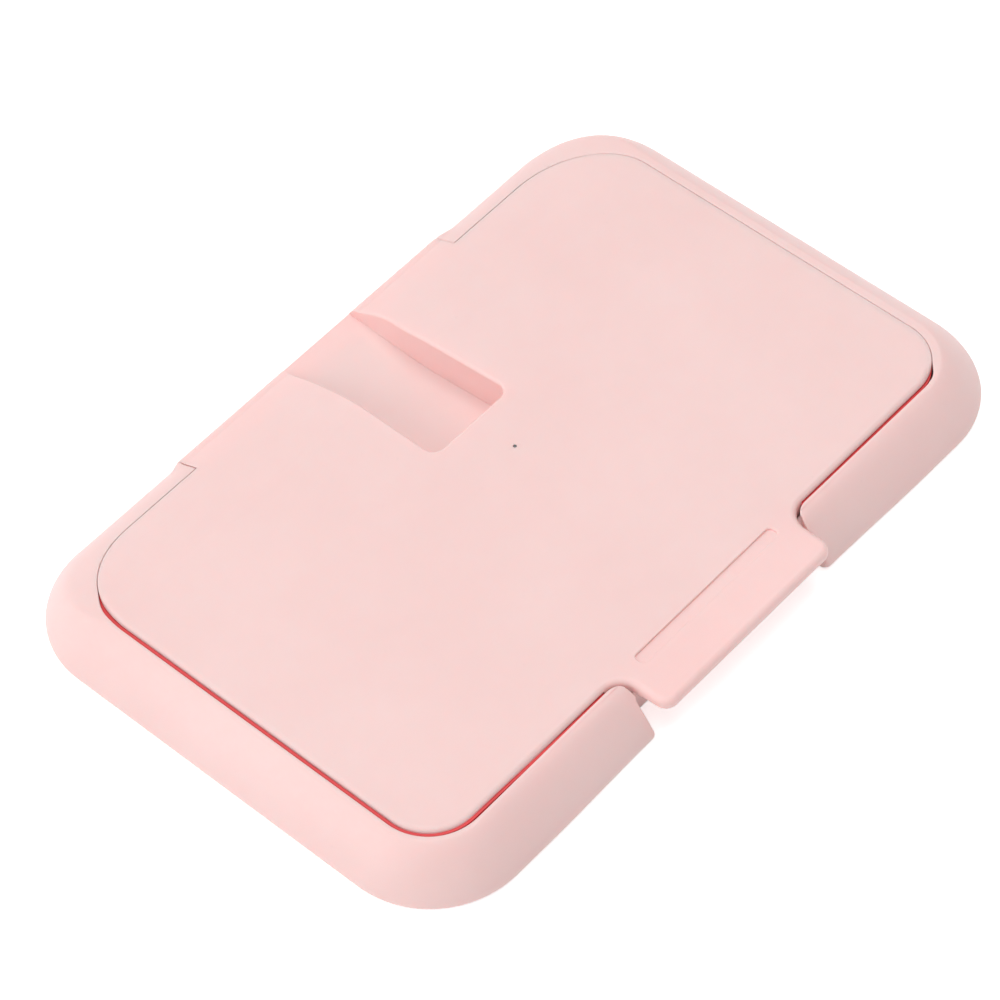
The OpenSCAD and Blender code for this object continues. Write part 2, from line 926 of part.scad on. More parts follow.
// Plan of the warming pan, grown by a margin
module pan_area(grow) {
    translate([0, heater_y])
        round_area(
            pan_l / 2 + grow, -pan_w / 2 - grow, pan_w / 2 + grow,
            window_r + grow, window_r + grow
        );
}

// Aluminium pan that warms the top wipes
module heater_plate() {
    color([0.8, 0.81, 0.83])
        difference() {
            union() {
                translate([0, 0, lid_rise])
                    linear_extrude(liner_t + pan_t)
                        pan_area(0);
                translate([0, 0, liner_top])
                    linear_extrude(pan_t)
                        pan_area(flange_w);
            }
            translate([0, 0, pan_floor])
                linear_extrude(body_h)
                    pan_area(-pan_t);
        }
}

// Etched heating film on the pan's floor
module heater_film() {
    color([0.85, 0.5, 0.15])
        translate([0, 0, pan_floor])
            linear_extrude(film_t)
                pan_area(-pan_t - fit);
}

// Foam pad over the film, which leaves the terminals free
module insulation_pad() {
    color([0.9, 0.9, 0.88])
        translate([0, 0, film_top])
            linear_extrude(pad_t)
                intersection() {
                    pan_area(-pan_t - 1);
                    translate([-pan_l, heater_y - pan_w])
                        square([2 * pan_l, 1.5 * pan_w - pan_t - terminal_strip]);
                }
}

// Circuit board with its two screw holes
module control_board() {
    color([0.1, 0.4, 0.25])
        difference() {
            block(
                [recess_mid - board_l / 2, board_front, board_under],
                [recess_mid + board_l / 2, board_back, board_top]
            );
            for (side = [-1, 1])
                translate([recess_mid + side * post_x, board_mid, board_under - cut])
                    cylinder(r = shank_r + pilot_fit, h = board_t + 2 * cut);
        }
}

// Screws that hold the board up to the lid's posts
module board_screws() {
    color([0.7, 0.7, 0.72])
        for (side = [-1, 1])
            translate([recess_mid + side * post_x, board_mid, board_under]) {
                cylinder(r = shank_r, h = liner_screw_l - 1);
                translate([0, 0, -0.7])
                    cylinder(r = head_r, h = 0.7);
            }
}

// Metal shell of the power socket, with its tongue
module power_socket() {
    color([0.78, 0.78, 0.8])
        translate([recess_mid, socket_mouth, socket_z])
            rotate([90, 0, 0]) {
                difference() {
                    linear_extrude(socket_size[2])
                        socket_area(0);
                    translate([0, 0, -cut])
                        linear_extrude(socket_size[2] - 1 + cut)
                            socket_area(-shell_t);
                }
                translate([0, 0, 0.6])
                    linear_extrude(socket_size[2] - 1)
                        square(tongue, center = true);
            }
}

// Controller, in a square flat package
module controller_chip() {
    color([0.12, 0.12, 0.13])
        translate([recess_mid + chip_x, board_mid, board_top + chip_size[2] / 2])
            cube(chip_size, center = true);
}

// Transistor that switches the heater, with its tab
module power_transistor() {
    color([0.15, 0.15, 0.16])
        translate([recess_mid + switch_x, board_mid + 2, board_top]) {
            block([-3.3, -3, 0], [3.3, 2, 2.3]);
            block([-2.7, -2, 0], [2.7, 3.6, 0.5]);
        }
}

// Three chip capacitors in a row
module board_capacitors() {
    color([0.72, 0.6, 0.45])
        for (i = [0:2])
            translate([recess_mid + cap_x + cap_pitch * i, board_mid + 1.5, board_top + cap_size[2] / 2])
                cube(cap_size, center = true);
}

// Indicator on the board
module status_led() {
    color([0.95, 0.95, 0.85])
        translate([led[0], led[1], board_top + led_size[2] / 2])
            cube(led_size, center = true);
}

// Clear pipe from the indicator up to the pinhole
module light_pipe() {
    color([0.9, 0.93, 0.95])
        translate([led[0], led[1], 0]) {
            translate([0, 0, board_top + led_size[2] + 0.05])
                cylinder(r = pipe_r, h = ceiling + 0.7 - board_top - led_size[2]);
            translate([0, 0, ceiling])
                cylinder(d = pinhole_d, h = body_h - 0.1 - ceiling);
        }
}

// Sensor bead on the film, with its two wires up to the board
module thermistor() {
    bead = [3.2, 3, 1.6];
    color([0.2, 0.2, 0.22])
        translate([sensor_x, terminal_y, film_top])
            block([-bead[0] / 2, -bead[1] / 2, 0], [bead[0] / 2, bead[1] / 2, bead[2]]);
    color([0.85, 0.75, 0.3])
        for (side = [-1, 1])
            wire(sensor_x + side * 0.9, film_top + bead[2] - 0.2, 0.3);
}

// Wire that stands on the film's terminals and arches over to the board
module wire(x, z0, r) {
    y1 = board_front + board_edge;
    radius = (y1 - terminal_y) / 2;
    spring = board_top + 0.4;
    translate([x, terminal_y + radius, spring])
        rotate([90, 0, 90])
            rotate_extrude(angle = 180)
                translate([radius, 0])
                    circle(r);
    translate([x, terminal_y, z0])
        cylinder(r = r, h = spring - z0);
    translate([x, y1, board_top])
        cylinder(r = r, h = spring - board_top);
}

// Thermal cut-out that lies on the film in the heater's supply
module thermal_fuse() {
    color([0.8, 0.78, 0.7])
        translate([fuse_x, terminal_y, film_top + 1.1])
            rotate([0, 90, 0]) {
                cylinder(r = 1.1, h = 8);
                translate([0, 0, -2])
                    cylinder(r = 0.4, h = 12);
            }
}

// Heater lead, supply side
module lead_red() {
    color([0.8, 0.12, 0.12])
        wire(lead_red_x, film_top, lead_r);
}

// Heater lead, return side
module lead_black() {
    color([0.1, 0.1, 0.1])
        wire(lead_black_x, film_top, lead_r);
}

rim_frame();
base_plate();
window_seal();
adhesive_ring();
hinge_pins();
base_screws();
lid_shell();
seam_seal();
lid_liner();
liner_gasket();
liner_screws();
heater_plate();
heater_film();
insulation_pad();
control_board();
board_screws();
power_socket();
controller_chip();
power_transistor();
board_capacitors();
status_led();
light_pipe();
thermistor();
thermal_fuse();
lead_red();
lead_black();
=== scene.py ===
"""Looks of a slim flip-lid warming unit for a soft pack of wipes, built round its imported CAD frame.

Shapes are drawn in millimetres, in the frame of the CAD: +X along the long side, +Y from the
lift tab to the hinge, +Z up out of the lid. Each finished piece is then brought to metres.
"""

import logging
import math
from dataclasses import dataclass, field, replace
from enum import Enum
from typing import Callable, Iterable, Sequence

import bmesh
import bpy
from mathutils import Matrix, Vector


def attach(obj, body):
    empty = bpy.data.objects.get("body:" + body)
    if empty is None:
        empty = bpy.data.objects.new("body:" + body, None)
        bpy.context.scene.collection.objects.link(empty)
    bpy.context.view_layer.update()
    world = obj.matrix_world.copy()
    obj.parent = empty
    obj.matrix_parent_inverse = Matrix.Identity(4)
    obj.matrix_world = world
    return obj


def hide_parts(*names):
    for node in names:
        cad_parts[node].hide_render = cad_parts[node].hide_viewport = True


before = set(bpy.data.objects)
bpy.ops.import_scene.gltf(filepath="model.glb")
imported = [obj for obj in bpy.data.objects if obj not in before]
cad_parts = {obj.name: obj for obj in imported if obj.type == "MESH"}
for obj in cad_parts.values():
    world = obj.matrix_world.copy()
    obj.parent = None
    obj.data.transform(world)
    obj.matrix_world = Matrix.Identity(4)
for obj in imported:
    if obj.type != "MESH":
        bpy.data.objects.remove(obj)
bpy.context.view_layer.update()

logging.basicConfig(level=logging.INFO, format="%(message)s")
log = logging.getLogger("wipe_lid")

MM = 0.001
CUT = 2.0  # how far a cutter runs past the face that it opens
FAR, BELOW, ABOVE = 120.0, -12.0, 30.0  # past the unit's sides, its underside and its top
NEAR = 0.01  # how exactly a place is met when edges and vertices are picked
LOOSE = 0.05  # the same for places that an earlier step has moved a little
CORNER_STEPS = 24  # facets of a rounded corner
SHARP = math.radians(35)  # edges past this angle stay sharp
Point = tuple[float, float, float]
Colour = tuple[float, float, float]
FaceTest = Callable[[Vector, Vector], bool]
EdgeTest = Callable[[Vector, Vector, list[Vector]], bool]


class Axis(Enum):
    """Direction of a round bar, as the turn that brings it there."""

    X = (0.0, math.pi / 2, 0.0)
    Z = (0.0, 0.0, 0.0)


class Cut(Enum):
    """How one solid changes another."""

    REMOVE = "DIFFERENCE"
    ADD = "UNION"


class Bench:
    """Modelling by hand: primitives, edit-mode operators and modifiers, one step a method."""

    @staticmethod
    def clear() -> None:
        """Leaves edit mode with nothing selected."""
        if bpy.context.object and bpy.context.object.mode != "OBJECT":
            bpy.ops.object.mode_set(mode="OBJECT")
        bpy.ops.object.select_all(action="DESELECT")

    @classmethod
    def pick(cls, item: bpy.types.Object) -> None:
        """Selects one object alone and makes it active.

        Args:
            item: The object.
        """
        cls.clear()
        item.select_set(True)
        bpy.context.view_layer.objects.active = item

    @classmethod
    def settle(cls, name: str) -> bpy.types.Object:
        """Names the newest primitive and puts its place into its mesh.

        Args:
            name: The object's name.

        Returns:
            The object, at the origin.
        """
        item = bpy.context.object
        item.name = item.data.name = name
        cls.pick(item)
        bpy.ops.object.transform_apply(location=True, rotation=True, scale=True)
        return item

    @classmethod
    def block(cls, name: str, low: Sequence[float], high: Sequence[float]) -> bpy.types.Object:
        """A cube stretched between two corners.

        Args:
            name: The object's name.
            low: Lowest corner.
            high: Highest corner.

        Returns:
            The new object.
        """
        cls.clear()
        a, b = Vector(low), Vector(high)
        bpy.ops.mesh.primitive_cube_add(size=1, location=(a + b) / 2, scale=b - a)
        return cls.settle(name)

    @classmethod
    def bar(
        cls,
        name: str,
        radius: float,
        start: Sequence[float],
        length: float,
        axis: Axis = Axis.Z,
        sides: int = 64,
    ) -> bpy.types.Object:
        """A round bar along an axis.

        Args:
            name: The object's name.
            radius: Its radius.
            start: Centre of its first end.
            length: Its length.
            axis: Its direction.
            sides: Number of its sides.

        Returns:
            The new object.
        """
        cls.clear()
        along = Vector((1, 0, 0)) if axis is Axis.X else Vector((0, 0, 1))
        bpy.ops.mesh.primitive_cone_add(
            vertices=sides,
            radius1=radius,
            radius2=radius,
            depth=length,
            location=Vector(start) + along * length / 2,
            rotation=axis.value,
        )
        return cls.settle(name)

    @classmethod
    def edit(cls, item: bpy.types.Object, kind: str = "VERT") -> bmesh.types.BMesh:
        """Opens an object in edit mode with nothing selected.

        Args:
            item: The object.
            kind: What is picked in it: VERT, EDGE or FACE.

        Returns:
            Its edit mesh.
        """
        cls.pick(item)
        bpy.ops.object.mode_set(mode="EDIT")
        bpy.ops.mesh.select_mode(type=kind)
        bpy.ops.mesh.select_all(action="DESELECT")
        return bmesh.from_edit_mesh(item.data)

    @classmethod
    def whole(cls, item: bpy.types.Object, operator: Callable[..., set[str]], **settings: object) -> None:
        """Runs an edit-mode operator on all of a mesh.

        Args:
            item: The object.
            operator: The operator.
            settings: Its settings by name.
        """
        cls.edit(item)
        bpy.ops.mesh.select_all(action="SELECT")
        operator(**settings)
        cls.clear()

    @classmethod
    def push(cls, item: bpy.types.Object, move: Point, test: Callable[[Vector], bool]) -> None:
        """Moves some of a mesh's vertices.

        Args:
            item: The object.
            move: How they move.
            test: Says which vertices to take.
        """
        mesh = cls.edit(item)
        for vert in mesh.verts:
            vert.select_set(test(vert.co))
        mesh.select_flush_mode()
        bpy.ops.transform.translate(value=move)
        cls.clear()

    @classmethod
    def bevel(
        cls, item: bpy.types.Object, width: float, steps: int, test: EdgeTest, profile: float = 0.5
    ) -> None:
        """Rounds the edges that a test takes by their two ends and the normals beside them.

        Args:
            item: The object.
            width: Width of the rounding.
            steps: Number of its facets.
            test: Says which edges to round.
            profile: Shape of the rounding, 0.5 for a circle.
        """
        edges = cls.edit(item, "EDGE").edges
        found = [e for e in edges if test(*(v.co for v in e.verts), [f.normal for f in e.link_faces])]
        for edge in found:
            edge.select_set(True)
        bmesh.update_edit_mesh(item.data)
        if found:
            bpy.ops.mesh.bevel(
                offset=width,
                offset_type="OFFSET",
                segments=steps,
                profile=profile,
                affect="EDGES",
                clamp_overlap=False,
                miter_outer="SHARP",
            )
        cls.clear()

    @classmethod
    def slices(
        cls,
        item: bpy.types.Object,
        direction: int,
        places: Iterable[float],
        test: FaceTest = lambda centre, normal: True,
    ) -> None:
        """Cuts edges into a mesh along parallel planes.

        Args:
            item: The object.
            direction: 0, 1 or 2 for planes across X, Y or Z.
            places: Where the planes stand.
            test: Says by its centre and normal whether a face is cut.
        """
        normal = [0.0, 0.0, 0.0]
        normal[direction] = 1.0
        for place in places:
            mesh = cls.edit(item, "FACE")
            for face in [f for f in mesh.faces if test(f.calc_center_median(), f.normal)]:
                face.select_set(True)
            bmesh.update_edit_mesh(item.data)
            bpy.ops.mesh.bisect(plane_co=[place * n for n in normal], plane_no=normal, threshold=0.002)
        cls.clear()

    @classmethod
    def reshape(cls, item: bpy.types.Object, shift: Callable[[Vector], Point]) -> None:
        """Moves each vertex by its own shift.

        Args:
            item: The object.
            shift: Gives a vertex's shift.
        """
        mesh = cls.edit(item)
        for vert in mesh.verts:
            vert.co += Vector(shift(vert.co))
        mesh.normal_update()
        bmesh.update_edit_mesh(item.data)
        cls.clear()

    @classmethod
    def modify(cls, item: bpy.types.Object, kind: str, **settings: object) -> None:
        """Adds a modifier and applies it.

        Args:
            item: The object.
            kind: The modifier's type.
            settings: Its settings by name.
        """
        cls.pick(item)
        modifier = item.modifiers.new(kind, kind)
        for key, value in settings.items():
            setattr(modifier, key, value)
        bpy.ops.object.modifier_apply(modifier=modifier.name)

    @classmethod
    def combine(cls, item: bpy.types.Object, tool: bpy.types.Object, how: Cut = Cut.REMOVE) -> None:
        """Cuts or joins with another solid, which is used up.

        Args:
            item: The object that stays.
            tool: The other solid.
            how: Whether it removes or adds.
        """
        cls.modify(item, "BOOLEAN", object=tool, operation=how.value, solver="EXACT")
        bpy.data.objects.remove(tool)
        cls.whole(item, bpy.ops.mesh.remove_doubles, threshold=0.001)

    @classmethod
    def cut(cls, item: bpy.types.Object, low: Point, high: Point) -> None:
        """Cuts away all that lies between two corners of a block.

        Args:
            item: The object.
            low: Lowest corner.
            high: Highest corner.
        """
        cls.combine(item, cls.block("cutter", low, high))

    @classmethod
    def finish(cls, item: bpy.types.Object) -> None:
        """Brings a piece to metres, cleans its mesh and shades it smooth.

        Args:
            item: The piece.
        """
        cls.pick(item)
        item.scale = (MM, MM, MM)
        bpy.ops.object.transform_apply(location=True, rotation=True, scale=True)
        cls.whole(item, bpy.ops.mesh.remove_doubles, threshold=0.002 * MM)
        cls.whole(item, bpy.ops.mesh.normals_make_consistent, inside=False)
        cls.pick(item)
        bpy.ops.object.shade_smooth_by_angle(angle=SHARP)
        cls.modify(item, "WEIGHTED_NORMAL", keep_sharp=True, weight=75)
        cls.clear()


def smooth(low: float, high: float, value: float) -> float:
    """Goes smoothly from 0 at one value to 1 at another."""
    share = min(1.0, max(0.0, (value - low) / (high - low)))
    return share * share * (3 - 2 * share)


def upright(a: Vector, b: Vector) -> bool:
    """Whether an edge stands upright."""
    return (a - b).to_2d().length < NEAR and abs(a.z - b.z) > 0.5


def walled(normals: list[Vector], slope: float = 0.1) -> bool:
    """Whether one of the faces beside an edge is an upright wall."""
    return min(abs(v.z) for v in normals) < slope


@dataclass(frozen=True)
class Fall:
    """The top surface's fall to the hinge side."""

    start: float = 38.0
    width: float = 26.0
    drop: float = 9.6
    power: float = 1.4
    top: float = 12.4
    blend: float = 6.0
    fade: float = 2.5
    step: float = 0.8

    def depth(self, y: float) -> float:
        """How far the top surface has fallen at a place along Y."""
        share = min(1.0, max(0.0, (y - self.start) / self.width))
        return self.drop * (1 - (1 - share**self.power) ** (1 / self.power))

    def height(self, y: float) -> float:
        """Height of the top surface at a place along Y."""
        return self.top - self.depth(y)

    def lines(self, rear: float) -> list[float]:
        """Places along Y, close enough to bend a flat face along the fall, up to a rear end."""
        return [self.start + self.step * i for i in range(1 + int((rear - 0.2 - self.start) / self.step))]

    def soften(self, item: bpy.types.Object, top: float, foot: float) -> None:
        """Presses a domed form down onto the fall, with no crease between the two.

        Args:
            item: The form.
            top: Height of its flat top.
            foot: Height up to which it stays.
        """

        def pressed(point: Vector) -> Point:
            """The vertex's shift."""
            own, fallen = top - point.z, self.depth(point.y)
            both = (max(own, 0.0) ** self.blend + fallen**self.blend) ** (1 / self.blend)
            return 0, 0, (own - both) * smooth(foot, foot + self.fade, point.z)

        Bench.reshape(item, pressed)


@dataclass(frozen=True)
class Plan:
    """A rectangle with its front and rear corners rounded."""

    half: float
    front: float
    rear: float
    front_corner: float
    rear_corner: float

    def inset(self, wall: float) -> "Plan":
        """The same plan, set in by a wall.

        Args:
            wall: How far, or below 0 to grow it.

        Returns:
            The new plan.
        """
        return Plan(
            self.half - wall,
            self.front + wall,
            self.rear - wall,
            self.front_corner - wall,
            self.rear_corner - wall,
        )

    def side(self, x: float, y: float) -> tuple[float, Vector]:
        """Where a point lies against the outline.

        Args:
            x: Its place along X.
            y: Its place along Y.

        Returns:
            How far outside the outline it lies, and the direction straight out.
        """
        corner = self.rear_corner if y > 0 else self.front_corner
        core = Vector(
            (
                min(max(x, corner - self.half), self.half - corner),
                min(max(y, self.front + self.front_corner), self.rear - self.rear_corner),
            )
        )
        out = Vector((x, y)) - core
        return out.length - corner, out.normalized()

    def slab(self, name: str, low: float, high: float) -> bpy.types.Object:
        """A slab of this plan.

        Args:
            name: The object's name.
            low: Height of its underside.
            high: Height of its top.

        Returns:
            The slab.
        """
        item = Bench.block(name, (-self.half, self.front, low), (self.half, self.rear, high))
        front, rear = self.front + NEAR, self.rear - NEAR
        Bench.bevel(item, self.front_corner, CORNER_STEPS, lambda a, b, n: upright(a, b) and a.y < front)
        Bench.bevel(item, self.rear_corner, CORNER_STEPS, lambda a, b, n: upright(a, b) and a.y > rear)
        return item


@dataclass(frozen=True)
class Sizes:
    """Sizes that the rim frame and the lid share, as in the CAD."""

    outer: Plan = Plan(95.0, -63.4, 63.4, 22.9, 22.9)
    well: Plan = Plan(84.9, -53.3, 57.2, 12.8, 22.0)
    lid: Plan = Plan(83.9, -52.3, 56.2, 11.8, 21.0)
    fall: Fall = Fall()
    top: float = 12.4
    gap_half: float = 28.0
    root: tuple[float, float] = (32.0, -57.3)
    root_radius: float = 4.0
    seam: float = 1.0
    tab_front: float = -65.1
    tab_under: float = 9.4
    hinge_y: float = 60.2
    hinge_z: float = 3.0
    hinge_half: float = 41.5
    ear: float = 42.3
    notch: float = 41.67
    barrel: float = 2.8
    pin: float = 1.0
    lean: float = 0.89

    def closed(self, out: Vector) -> float:
        """How far the seam closes up where a side faces this way: only to the right and rear."""
        return smooth(-0.5, -0.12, out.dot(Vector((0.7, 0.71))))

    def hinge_top(self, y: float) -> float:
        """Height of the hinge part's top at a place along Y."""
        past = y - self.hinge_y
        if past < 0:
            return self.fall.height(y)
        return self.hinge_z + math.sqrt(max(0.0, self.barrel**2 - past * past))

    def gap(self, name: str, inset: float, front: float, low: float, high: float) -> bpy.types.Object:
        """The front gap's solid, with its roots rounded outwards.

        Args:
            name: The object's name.
            inset: How far it is set in from the rim.
            front: Its front end.
            low: Height of its underside.
            high: Height of its top.

        Returns:
            The solid.
        """
        x, y = self.root
        item = Bench.block(name, (-x, front, low), (x, self.well.front + inset + 1, high))
        for side in (-1, 1):
            arc = Bench.bar("root", self.root_radius + inset, (side * x, y, low - 1), high - low + 2)
            Bench.combine(item, arc)
            left, right = sorted((side * (self.gap_half - inset), side * (x + 3)))
            Bench.cut(item, (left, front - 1, low - 1), (right, y, high + 1))
        return item


class Signal:
    """A socket of a material, on which Python's operators add Math nodes."""

    def __init__(self, graph: "Graph", socket: bpy.types.NodeSocket) -> None:
        """Wraps a socket of a graph."""
        self.graph = graph
        self.socket = socket

    def _maths(self, operation: str, *values: "Signal | float") -> "Signal":
        """One Math node on these values."""
        return self.graph.node("ShaderNodeMath", {"operation": operation}, dict(enumerate(values)))

    def __add__(self, other: "Signal | float") -> "Signal":
        """Sum."""
        return self._maths("ADD", self, other)

    __radd__ = __add__

    def __sub__(self, other: "Signal | float") -> "Signal":
        """Difference."""
        return self._maths("SUBTRACT", self, other)

    def __mul__(self, other: "Signal | float") -> "Signal":
        """Product."""
        return self._maths("MULTIPLY", self, other)

    __rmul__ = __mul__

    def __gt__(self, other: "Signal | float") -> "Signal":
        """1 where this is the greater."""
        return self._maths("GREATER_THAN", self, other)

    def clamp(self) -> "Signal":
        """Held between 0 and 1."""
        return self.graph.node("ShaderNodeClamp", {}, {0: self})

    def ramp(self, low: float, high: float) -> "Signal":
        """Goes smoothly from 0 to 1 between two values."""
        return self.graph.node(
            "ShaderNodeMapRange",
            {"interpolation_type": "SMOOTHSTEP"},
            {0: self, 1: low, 2: high, 3: 0.0, 4: 1.0},
        )


class Graph:
    """The node tree of a material, or of the world."""

    def __init__(self, owner: bpy.types.Material | bpy.types.World) -> None:
        """Starts a tree with its shader and output alone.

        Args:
            owner: What the tree belongs to.
        """
        self.owner = owner
        owner.use_nodes = True
        self.tree = owner.node_tree
        self.tree.nodes.clear()
        kinds = ("Background", "OutputWorld")
        if isinstance(owner, bpy.types.Material):
            kinds = ("BsdfPrincipled", "OutputMaterial")
        self.shader, output = (self.tree.nodes.new(f"ShaderNode{kind}") for kind in kinds)
        self.tree.links.new(self.shader.outputs[0], output.inputs[0])

    def plug(self, socket: bpy.types.NodeSocket, value: object) -> None:
        """Sets a socket's value, or links a signal to it."""
        if isinstance(value, Signal):
            self.tree.links.new(value.socket, socket)
        elif isinstance(value, tuple) and len(value) == 3 and len(socket.default_value) == 4:
            socket.default_value = (*value, 1.0)
        else:
            socket.default_value = value

    def node(
        self,
        kind: str,
        settings: dict[str, object] | None = None,
        inputs: dict[object, object] | None = None,
        output: object = 0,
    ) -> Signal:
        """Adds a node.

        Args:
            kind: The node's type.
            settings: Its settings, set first.
            inputs: Values or signals of its sockets, by name or number.
            output: The socket that is passed on.

        Returns:
            That socket's signal.
        """
        item = self.tree.nodes.new(kind)
        for key, value in (settings or {}).items():
            setattr(item, key, value)
        for key, value in (inputs or {}).items():
            self.plug(item.inputs[key], value)
        return Signal(self, item.outputs[output])

    def place(self) -> Signal:
        """The piece's own coordinates, in metres."""
        return self.node("ShaderNodeTexCoord", output="Object")

    def seen(self) -> Signal:
        """1 on rays that show a background: from the camera, by gloss and through glass."""
        kinds = ("Camera", "Glossy", "Transmission")
        return sum(self.node("ShaderNodeLightPath", output=f"Is {kind} Ray") for kind in kinds).clamp()

    def noise(
        self, size: float, detail: float = 2.0, roughness: float = 0.5, at: Signal | None = None
    ) -> Signal:
        """Noise over the piece.

        Args:
            size: Size of its patches, in millimetres.
            detail: Number of finer layers.
            roughness: How strong the finer layers are.
            at: Where it is read, the piece's coordinates by default.

        Returns:
            Its value, from 0 to 1.
        """
        return self.node(
            "ShaderNodeTexNoise",
            {},
            {
                "Vector": at or self.place(),
                "Scale": 1 / (size * MM),
                "Detail": detail,
                "Roughness": roughness,
            },
        )

    def mix(self, share: Signal | float, first: object, second: object) -> Signal:
        """Mixes two colours.

        Args:
            share: Share of the second.
            first: First colour.
            second: Second colour.

        Returns:
            The mixed colour.
        """
        return self.node("ShaderNodeMix", {"data_type": "RGBA"}, {0: share, 6: first, 7: second}, output=2)

    def bump(self, height: Signal, depth: float, under: Signal | None = None) -> Signal:
        """A bump from a height.

        Args:
            height: Height from 0 to 1.
            depth: Depth of the bump, in millimetres.
            under: The bump below it.

        Returns:
            The bumped normal.
        """
        inputs: dict[object, object] = {"Strength": 1.0, "Distance": depth * MM, "Height": height}
        if under is not None:
            inputs["Normal"] = under
        return self.node("ShaderNodeBump", {}, inputs)

    def shade(self, **values: object) -> bpy.types.Material | bpy.types.World:
        """Sets the shader's sockets, whose names have _ for spaces.

        Args:
            values: Values or signals by socket.

        Returns:
            The tree's owner.
        """
        for key, value in values.items():
            self.plug(self.shader.inputs[key.replace("_", " ")], value)
        return self.owner


@dataclass(frozen=True)
class Moulded:
    """Satin moulded plastic with a spark-eroded grain."""

    name: str
    colour: Colour
    roughness: float = 0.46
    grain: float = 0.28
    depth: float = 0.006
    glow: float = 0.0

    def material(self) -> bpy.types.Material:
        """The finished material."""
        g = Graph(bpy.data.materials.new(self.name))
        cloud = g.noise(34, 3, 0.55)
        mottle = g.noise(5.5, 2, 0.5)
        pale = tuple(min(1.0, c * 1.025) for c in self.colour)
        deep = tuple(c * k for c, k in zip(self.colour, (0.985, 0.955, 0.95)))
        tone = g.mix((cloud - 0.35) * 1.6 + (mottle - 0.5) * 0.35, deep, pale)
        speck = (g.noise(1.3, 1, 0.4) > 0.79) * 0.10
        tone = g.mix(speck, tone, tuple(c * 0.8 for c in self.colour))
        grain = g.noise(self.grain, 2, 0.6)
        flow = g.noise(9, 2, 0.5)
        normal = g.bump(grain, self.depth, g.bump(flow, 0.02))
        return g.shade(
            Base_Color=tone,
            Roughness=grain * 0.10 + flow * 0.06 + (self.roughness - 0.08),
            Normal=normal,
            IOR=1.46,
            Subsurface_Weight=self.glow,
            Subsurface_Radius=(0.0035, 0.0012, 0.001),
            Subsurface_Scale=1.0,
        )


@dataclass(frozen=True)
class Rubbery:
    """Matte silicone or foam, with fine pits; its tone varies at random, and it is darker in the pits, which
    is painted shade.
    """

    name: str
    colour: Colour
    roughness: float = 0.62
    pit: float = 0.35
    depth: float = 0.02

    def material(self) -> bpy.types.Material:
        """The finished material."""
        g = Graph(bpy.data.materials.new(self.name))
        soft = g.noise(6, 2, 0.5)
        pit_depth_and_painted_shade = g.node(
            "ShaderNodeTexVoronoi",
            {"feature": "F1"},
            {"Vector": g.place(), "Scale": 1 / (self.pit * MM)},
        )
        # The colour goes darker where the pits are deepest: painted shade in the pits, besides random tone
        # from the soft noise.
        tone = g.mix(
            soft * 0.7 + pit_depth_and_painted_shade * 0.2,
            tuple(c * 0.86 for c in self.colour),
            tuple(min(1.0, c * 1.08) for c in self.colour),
        )
        return g.shade(
            Base_Color=tone,
            Roughness=soft * 0.12 + (self.roughness - 0.06),
            Normal=g.bump(pit_depth_and_painted_shade, self.depth),
        )


@dataclass(frozen=True)
class Metallic:
    """Drawn, rolled or plated metal, brushed along one axis."""

    name: str
    colour: Colour
    roughness: float = 0.3
    along: Point = (0.04, 1.0, 1.0)

    def material(self) -> bpy.types.Material:
        """The finished material."""
        g = Graph(bpy.data.materials.new(self.name))
        lined = g.node("ShaderNodeMapping", {}, {"Vector": g.place(), "Scale": self.along})
        lines = g.noise(0.12, 3, 0.6, at=lined)
        stain = g.noise(7, 3, 0.6)
        tone = g.mix(stain * 0.6, self.colour, tuple(c * 0.84 for c in self.colour))
        return g.shade(
            Base_Color=tone,
            Metallic=1.0,
            Roughness=lines * 0.12 + stain * 0.1 + (self.roughness - 0.1),
            Normal=g.bump(lines, 0.004),
        )


@dataclass(frozen=True)
class Circuit:
    """Solder mask over copper tracks."""

    name: str = "circuit_board"
    mask: Colour = (0.012, 0.12, 0.05)
    track: Colour = (0.035, 0.24, 0.1)

    def material(self) -> bpy.types.Material:
        """The finished material."""
        g = Graph(bpy.data.materials.new(self.name))
        tracks = g.node(
            "ShaderNodeTexBrick",
            {"offset": 0.37, "offset_frequency": 3},
            {
                "Vector": g.place(),
                "Scale": 210.0,
                "Mortar Size": 0.09,
                "Mortar Smooth": 0.1,
                "Brick Width": 1.3,
                "Row Height": 0.32,
            },
            output="Fac",
        )
        bands = {"wave_type": "BANDS"}
        weave = g.node("ShaderNodeTexWave", bands, {"Vector": g.place(), "Scale": 900.0}, output=1)
        tone = g.mix(tracks, self.mask, self.track)
        tone = g.mix(weave * 0.12, tone, (0.05, 0.2, 0.1))
        return g.shade(
            Base_Color=tone,
            Roughness=g.noise(4, 2) * 0.1 + 0.22,
            Coat_Weight=0.4,
            Normal=g.bump(tracks, 0.03),
        )


@dataclass(frozen=True)
class Film:
    """Polyimide film over an etched heating track."""

    name: str = "heating_film"

    def material(self) -> bpy.types.Material:
        """The finished material."""
        g = Graph(bpy.data.materials.new(self.name))
        wave = g.node(
            "ShaderNodeTexWave",
            {"wave_type": "BANDS", "bands_direction": "Y"},
            {"Vector": g.place(), "Scale": 75.0, "Distortion": 0.0},
            output=1,
        )
        track = wave.ramp(0.45, 0.6)
        tone = g.mix(track, (0.62, 0.24, 0.03), (0.42, 0.12, 0.02))
        return g.shade(
            Base_Color=tone,
            Roughness=g.noise(5, 2) * 0.1 + 0.18,
            Coat_Weight=0.5,
            Normal=g.bump(track, 0.03),
        )


